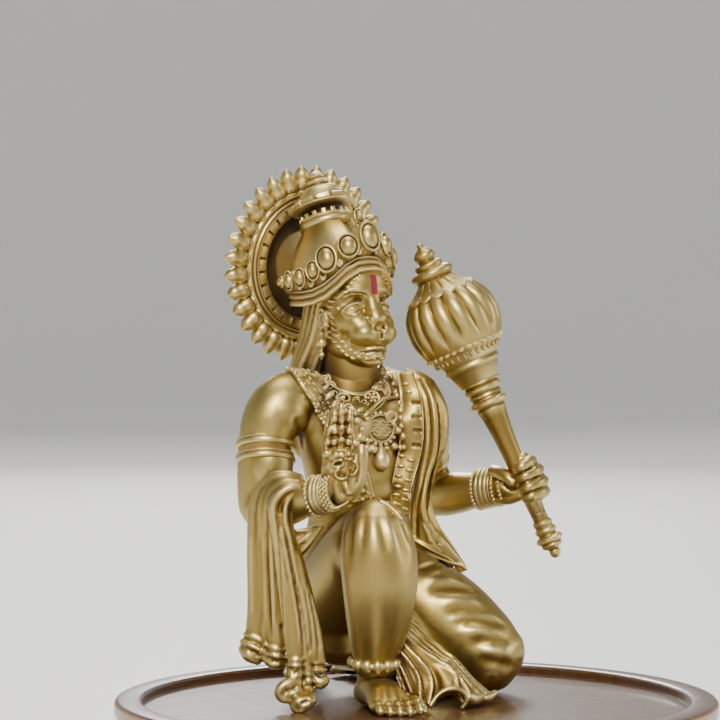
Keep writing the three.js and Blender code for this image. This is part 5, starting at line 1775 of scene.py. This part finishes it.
def earForms():
    forms = []
    for (x, y, toward) in ((321.5, 334, -13.4), (381.5, 363, -20.4)):
        top = pixelPlace(x, y, toward)
        forms += [ball(top, (0.36, 0.36, 0.36), 14, 10),
            standing(lathe(eased([(-2.7, 0), (-2.6, 0.6), (-2.2, 0.98), (-1.6, 1.06), (-1.1, 0.8),
            (-0.7, 0.42), (-0.4, 0.26), (-0.2, 0)], 1), 24), top, top + [0, 0, 1]),
            ball(top - [0, 0, 3.1], (0.34, 0.34, 0.3), 12, 8),
            ball(top - [0, 0, 3.9], (0.66, 0.66, 0.62), 14, 10),
            ball(top - [0, 0, 4.6], (0.22, 0.22, 0.26), 10, 8)]
    return forms


medallion = makeObject("chestMedallion", medallionForms())
chestTree = surfaceTree([body, head, collar, stole, medallion])
chestJewels = makeObject("chestOrnaments", chestForms())
limbHoops = makeObject("bangles", limbJewels())
earRings = makeObject("earDrops", earForms())
print("jewels", len(chestJewels.data.vertices), len(limbHoops.data.vertices))


plinthSettings = {
    "segments": 256,
    "profile": [  # (height, radius) in millimetres
        (0, 0), (0, 58.6), (0.5, 59.8), (1.2, 60.2), (2.4, 60.2), (3.1, 59.8), (3.3, 59), (4.2, 58.6),
         (6, 58.4),
        (8.4, 58.8), (9.6, 59.4), (10, 60), (10.4, 60.2), (12.3, 60.2), (12.8, 59.8), (13, 59.2), (13, 55.4),
        (12.8, 54.9), (12.4, 54.6), (11.2, 54.6), (11, 54.4), (11, 0),
    ],
}


def turnPlinth():
    profile = [
        (height / 1000 / share - floorHeight / share, radius / 1000 / share) for height,
        radius in plinthSettings["profile"]
    ]
    form = lathe(profile, plinthSettings["segments"])
    return makeObject("turnedPlinth", [outward(form)])


plinth = turnPlinth()
print("plinth", len(plinth.data.vertices))


studioSettings = {
    # the floor runs out flat and then curves up all round: (radius, height) in metres
    "floorProfile": [(0.3, 0), (0.7, 0), (1.0, 0), (1.25, 0.03), (1.45, 0.12), (1.6, 0.28), (1.7, 0.5),
     (1.74, 0.8), (1.75, 1.5)],
    "sky": (0.55, 0.57, 0.60), "horizon": (0.55, 0.55, 0.55), "skyStrength": 0.27,
    "lights": [  # name, place, aim, size, power, colour
        ("keyLight", (-0.55, -0.62, 0.75), (0, 0, 0.06), 0.3, 15.0, (1, 0.97, 0.92)),
        ("fillLight", (0.75, -0.55, 0.35), (0, 0, 0.06), 0.5, 2.6, (0.95, 0.97, 1)),
        ("topLight", (0.1, 0.15, 0.95), (0, 0, 0.05), 0.6, 6.0, (1, 1, 1)),
        ("backLight", (0.45, 0.75, 0.5), (0, 0, 0.08), 0.35, 6.0, (1, 0.98, 0.95)),
    ],
}


class Wire:
    def __init__(self, tree, socket):
        self.tree, self.socket = tree, socket

    def join(self, other, operation, swapped=False):
        first, second = (other, self) if swapped else (self, other)
        return shaderNode(self.tree, "ShaderNodeMath", {"operation": operation}, {0: first, 1: second})

    def __add__(self, other): return self.join(other, "ADD")
    def __radd__(self, other): return self.join(other, "ADD", True)
    def __sub__(self, other): return self.join(other, "SUBTRACT")
    def __rsub__(self, other): return self.join(other, "SUBTRACT", True)
    def __mul__(self, other): return self.join(other, "MULTIPLY")
    def __rmul__(self, other): return self.join(other, "MULTIPLY", True)
    def __truediv__(self, other): return self.join(other, "DIVIDE")
    def __pow__(self, other): return self.join(other, "POWER")

    def held(self):
        return shaderNode(self.tree, "ShaderNodeClamp", {}, {"Value": self})


# Adds a node, sets its properties, then links or sets its sockets; the first output comes back as a Wire
def shaderNode(tree, kind, settings, values, output=0):
    node = tree.nodes.new(kind)
    for key, value in settings.items():
        if key == "stops":
            while len(node.color_ramp.elements) < len(value):
                node.color_ramp.elements.new(0.5)
            for element, (position, colour) in zip(node.color_ramp.elements, value):
                element.position, element.color = position, (*colour, 1)
        else:
            setattr(node, key, value)
    for key, value in values.items():
        if isinstance(value, Wire):
            tree.links.new(value.socket, node.inputs[key])
        else:
            node.inputs[key].default_value = value
    return Wire(tree, node.outputs[output])


def mixed(factor, first, second):
    return shaderNode(factor.tree, "ShaderNodeMix", {"data_type": "RGBA"}, {0: factor, 6: first, 7: second},
        output=2)


def newMaterial(name):
    material = bpy.data.materials.new(name)
    material.use_nodes = True
    return material, material.node_tree, material.node_tree.nodes["Principled BSDF"]


def noise(tree, place, scale, detail=3.0, roughness=0.5):
    return shaderNode(tree, "ShaderNodeTexNoise", {},
        {"Vector": place, "Scale": scale, "Detail": detail, "Roughness": roughness})


# recess and deep are the dark colours of patina and painted shade in the hollows
goldSettings = {
    "recess": (0.050, 0.024, 0.006), "deep": (0.20, 0.115, 0.026), "mid": (0.37, 0.262, 0.068),
    "worn": (0.74, 0.60, 0.27), "roughness": 0.41, "cloudScale": 60.0, "grainScale": 900.0,
    "speckScale": 2600.0, "bumpStrength": 0.35, "bumpDistance": 0.00012,
}


# Antique gold: dark lacquer and painted shade in the hollows, paler where it is rubbed
def goldMaterial(name="antiqueGold", tilak=False):
    material, tree, shader = newMaterial(name)
    place = shaderNode(tree, "ShaderNodeTexCoord", {}, {}, output=3)
    hollow = shaderNode(tree, "ShaderNodeAttribute", {"attribute_name": "hollow"}, {}, output=2)
    rub = shaderNode(tree, "ShaderNodeAttribute", {"attribute_name": "rub"}, {}, output=2)
    cloud = noise(tree, place, goldSettings["cloudScale"], 4.0)
    grain = noise(tree, place, goldSettings["grainScale"], 2.0)
    speck = noise(tree, place, goldSettings["speckScale"], 2.0)
    # painted shade: the hollow value darkens the gold where shade falls, mixed with patina and random tone,
    # less on rubbed edges
    patinaAndShade = (hollow * 1.25 + (cloud - 0.5) * 0.35 - rub * 0.3).held()
    colour = shaderNode(tree, "ShaderNodeValToRGB",
        {"stops": [(0.0, goldSettings["mid"]), (0.45, goldSettings["deep"]), (1.0, goldSettings["recess"])]},
        {0: patinaAndShade})
    colour = mixed((rub * 0.85 + (cloud - 0.5) * 0.25).held(), colour, (*goldSettings["worn"], 1))
    rough = (goldSettings["roughness"] + patinaAndShade * 0.2 + (grain - 0.5) * 0.12 + (cloud - 0.5) * 0.1).held()
    metallic = (1.0 - patinaAndShade * 0.22).held()
    if tilak:
        x, y, z = (shaderNode(tree, "ShaderNodeSeparateXYZ", {}, {0: place}, output=k) for k in range(3))
        bar = tilakSettings
        across = shaderNode(tree, "ShaderNodeMath", {"operation": "ABSOLUTE"}, {0: x - bar["x"]})
        up = shaderNode(tree, "ShaderNodeMath", {"operation": "ABSOLUTE"}, {0: z - bar["z"]})
        edge = (noise(tree, place, 1500.0, 2.0) - 0.5) * 0.00025
        sharp = bar["sharpness"]
        inside = ((bar["halfWidth"] - across + edge) * sharp).held() * ((bar["halfHeight"] - up + edge)
            * sharp).held()
        paint = inside * ((bar["behind"] - y) * sharp).held()
        colour = mixed(paint, colour, (*bar["colour"], 1))
        metallic = metallic * (1.0 - paint * 0.75)
        rough = rough + paint * 0.08
    tree.links.new(colour.socket, shader.inputs["Base Color"])
    tree.links.new(rough.socket, shader.inputs["Roughness"])
    tree.links.new(metallic.socket, shader.inputs["Metallic"])
    bump = shaderNode(tree, "ShaderNodeBump", {},
        {"Strength": goldSettings["bumpStrength"], "Distance": goldSettings["bumpDistance"],
        "Height": grain * 0.7 + speck * 0.3})
    tree.links.new(bump.socket, shader.inputs["Normal"])
    return material


tilakSettings = {
    "x": (middle - 0.1) * share, "z": 78.1 * share + floorHeight, "halfWidth": 0.8 * share,
    "halfHeight": 1.9 * share, "behind": 16 * share, "sharpness": 9000.0, "colour": (0.20, 0.006, 0.018),
}


woodSettings = {
    "dark": (0.034, 0.015, 0.007), "warm": (0.11, 0.048, 0.02), "side": (0.30, 0.16, 0.065),
    "sideRadius": 0.0575, "sideTop": 0.0127, "sharpness": 4000.0, "roughness": 0.22, "coat": 0.22,
    "coatRoughness": 0.08,
}


# Polished dark wood; the turned outer side is paler
def woodMaterial():
    material, tree, shader = newMaterial("polishedWalnut")
    place = shaderNode(tree, "ShaderNodeTexCoord", {}, {}, output=3)
    long = shaderNode(tree, "ShaderNodeMapping", {}, {"Vector": place, "Scale": (4, 60, 60)})
    figure = noise(tree, long, 9.0, 5.0, 0.6)
    pores = noise(tree, long, 60.0, 3.0)
    colour = shaderNode(tree, "ShaderNodeValToRGB",
        {"stops": [(0.25, woodSettings["dark"]), (0.75, woodSettings["warm"])]},
        {0: (figure * 0.8 + pores * 0.2).held()})
    flat = shaderNode(tree, "ShaderNodeMapping", {}, {"Vector": place, "Scale": (1, 1, 0)})
    radial = shaderNode(tree, "ShaderNodeVectorMath", {"operation": "LENGTH"}, {0: flat}, output=1)
    height = shaderNode(tree, "ShaderNodeSeparateXYZ", {}, {0: place}, output=2)
    outer = ((radial - woodSettings["sideRadius"]) * woodSettings["sharpness"]).held() * (0.8 + figure
        * 0.3).held()
    outer = outer * ((woodSettings["sideTop"] - height) * woodSettings["sharpness"]).held()
    colour = mixed(outer, colour, (*woodSettings["side"], 1))
    tree.links.new(colour.socket, shader.inputs["Base Color"])
    tree.links.new((woodSettings["roughness"] + pores * 0.16).socket, shader.inputs["Roughness"])
    shader.inputs["Coat Weight"].default_value = woodSettings["coat"]
    shader.inputs["Coat Roughness"].default_value = woodSettings["coatRoughness"]
    return material


def floorMaterial():
    material, tree, shader = newMaterial("paleFloor")
    shader.inputs["Base Color"].default_value = (0.78, 0.78, 0.77, 1)
    shader.inputs["Roughness"].default_value = 0.6
    return material


def setStudio():
    profile = studioSettings["floorProfile"][::-1]
    selectNone()
    bpy.ops.mesh.primitive_circle_add(vertices=96, radius=profile[0][0], fill_type="NOTHING",
        location=(0, 0, profile[0][1]))
    floor = bpy.context.object
    floor.name = "studioFloor"
    bpy.ops.object.transform_apply(location=True)
    bpy.ops.object.mode_set(mode="EDIT")
    bpy.ops.mesh.select_all(action="SELECT")
    for (radius, height), (nextRadius, nextHeight) in zip(profile[:-1], profile[1:]):
        bpy.ops.mesh.extrude_edges_move(TRANSFORM_OT_translate={"value": (0, 0, nextHeight - height)})
        bpy.ops.transform.resize(value=(nextRadius / radius, nextRadius / radius, 1))
    bpy.ops.mesh.edge_face_add()
    bpy.ops.mesh.select_all(action="SELECT")
    bpy.ops.mesh.normals_make_consistent(inside=True)
    bpy.ops.object.mode_set(mode="OBJECT")
    bpy.ops.object.shade_smooth()
    floor.data.materials.append(floorMaterial())
    world = bpy.data.worlds.new("studioSky")
    bpy.context.scene.world = world
    world.use_nodes = True
    tree = world.node_tree
    background = tree.nodes["Background"]
    place = shaderNode(tree, "ShaderNodeTexCoord", {}, {}, output=0)
    height = shaderNode(tree, "ShaderNodeSeparateXYZ", {}, {0: place}, output=2)
    colour = shaderNode(tree, "ShaderNodeValToRGB",
        {"stops": [(0.0, studioSettings["horizon"]), (1.0, studioSettings["sky"])]}, {0: height.held()})
    tree.links.new(colour.socket, background.inputs["Color"])
    background.inputs["Strength"].default_value = studioSettings["skyStrength"]
    for name, place, aim, size, power, tint in studioSettings["lights"]:
        data = bpy.data.lights.new(name, "AREA")
        data.shape, data.size, data.energy, data.color = "DISK", size, power, tint
        lamp = bpy.data.objects.new(name, data)
        bpy.context.scene.collection.objects.link(lamp)
        lamp.location = place
        lamp.rotation_euler = (Vector(aim) - Vector(place)).to_track_quat("-Z", "Y").to_euler()


def setCamera():
    data = bpy.data.cameras.new("photoCamera")
    data.lens, data.sensor_width = cameraSettings["lens"], cameraSettings["sensor"]
    data.clip_start, data.clip_end = cameraSettings["near"], cameraSettings["far"]
    camera = bpy.data.objects.new("photoCamera", data)
    bpy.context.scene.collection.objects.link(camera)
    camera.matrix_world = Matrix([[cameraRight[k], cameraUp[k], cameraBack[k],
        cameraPlace[k]] for k in range(3)] + [[0, 0, 0, 1]])
    bpy.context.scene.camera = camera


def spread(values, ends, count):
    total = np.zeros_like(values)
    for k in range(values.shape[1]):
        total[:, k] = np.bincount(ends[:, 0], values[ends[:, 1], k], len(values))
        total[:, k] += np.bincount(ends[:, 1], values[ends[:, 0], k], len(values))
    return total / np.maximum(count, 1)[:, None]


shadeSettings = {
    "reach": 3,
    # size of a cell, how far off the surface it is probed, how strongly it darkens
    "scales": [(0.00045, 0.0011, 0.8), (0.0012, 0.003, 1)],
}


def boxBlur(grid, reach):
    for axis in range(3):
        total = np.cumsum(grid, axis=axis)
        total = np.concatenate([np.zeros_like(np.take(total, [0], axis)), total], axis)
        size = grid.shape[axis]
        high = np.minimum(np.arange(size) + reach + 1, size)
        low = np.maximum(np.arange(size) - reach, 0)
        grid = (np.take(total, high, axis) - np.take(total, low, axis)) / (2 * reach + 1)
    return grid


# How crowded the space in front of each point is, at one scale; the gold turns this into painted shade
def crowding(spots, areas, normals, cell, away):
    reach = shadeSettings["reach"]
    low = spots.min(0) - 10 * cell
    shape = np.ceil((spots.max(0) + 10 * cell - low) / cell).astype(int)
    cells = np.floor((spots - low) / cell).astype(int)
    flat = (cells[:, 0] * shape[1] + cells[:, 1]) * shape[2] + cells[:, 2]
    grid = np.minimum(np.bincount(flat, areas, shape.prod()).reshape(shape) / cell ** 2, 4.0)
    near = boxBlur(boxBlur(grid, reach), reach)
    where = (spots + normals * away - low) / cell - 0.5
    corner = np.clip(np.floor(where).astype(int), 0, shape - 2)
    part = np.clip(where - corner, 0, 1)
    value = np.zeros(len(spots))
    for dx, dy, dz in product((0, 1), repeat=3):
        weight = np.abs(1 - dx - part[:, 0]) * np.abs(1 - dy - part[:, 1]) * np.abs(1 - dz - part[:, 2])
        value += weight * near[corner[:, 0] + dx, corner[:, 1] + dy, corner[:, 2] + dz]
    return np.clip((value / np.median(value) - 1.0) / 1.6, 0, 1)


# Marks hollows, for painted shade with patina, and rubbed edges on every point, for the gold to follow
def markHollows(things):
    spots, areas, normals, sizes = [], [], [], []
    for thing in things:
        points, corners, counts = readForm(thing)
        faceAreas = gathered(thing.data.polygons, "area")
        spots.append(points)
        areas.append(np.bincount(corners, np.repeat(faceAreas / counts, counts), len(points)))
        normals.append(vertexNormals(thing))
        sizes.append(len(points))
    allSpots, allAreas, allNormals = np.vstack(spots), np.concatenate(areas), np.vstack(normals)
    hollow = np.zeros(len(allSpots))
    for cell, away, strength in shadeSettings["scales"]:
        hollow = np.maximum(hollow, strength * crowding(allSpots, allAreas, allNormals, cell, away))
    start = 0
    for thing, size, points, normal in zip(things, sizes, spots, normals):
        part = hollow[start:start + size]
        start += size
        ends = gathered(thing.data.edges, "vertices", 2, np.int32)
        count = np.bincount(ends.ravel(), minlength=size).astype(float)
        calm = points
        for _ in range(4):
            calm = 0.5 * calm + 0.5 * spread(calm, ends, count)
        length = np.linalg.norm(points[ends[:, 0]] - points[ends[:, 1]], axis=1).mean()
        curve = np.einsum("ij,ij->i", points - calm, normal) / length
        # hollow: painted shade from crowded space and concave curves; rub: convex edges, for wear
        values = np.stack([np.clip(part - 1.8 * np.minimum(curve, 0), 0, 1), np.clip(curve * 4.0, 0, 1)], 1)
        for _ in range(2):
            values = 0.6 * values + 0.4 * spread(values, ends, count)
        for name, column in (("hollow", 0), ("rub", 1)):
            attribute = thing.data.attributes.new(name, "FLOAT", "POINT")
            attribute.data.foreach_set("value", values[:, column].astype(np.float32))


gold = goldMaterial()
goldFace = goldMaterial("antiqueGoldFace", tilak=True)
wood = woodMaterial()
for thing, sharpest in ((body, None), (head, None), (locks, None), (crown, 35), (halo, 40), (hair, None),
        (mace, 35), (openHand, None), (grippingHand, None), (feet, None), (armScarf, None), (apron, 50),
        (stole, 50), (foldedStole, None), (collar, 50), (medallion, 40), (chestJewels, 50), (limbHoops, 40),
        (earRings, 40)):
    finishPiece(thing, angle=sharpest, replaced=["figure"] if thing is body else [])
    thing.data.materials.append(goldFace if thing is head else gold)
markHollows(pieces)
finishPiece(plinth, angle=35, replaced=["plinth"])
plinth.data.materials.append(wood)
setStudio()
setCamera()
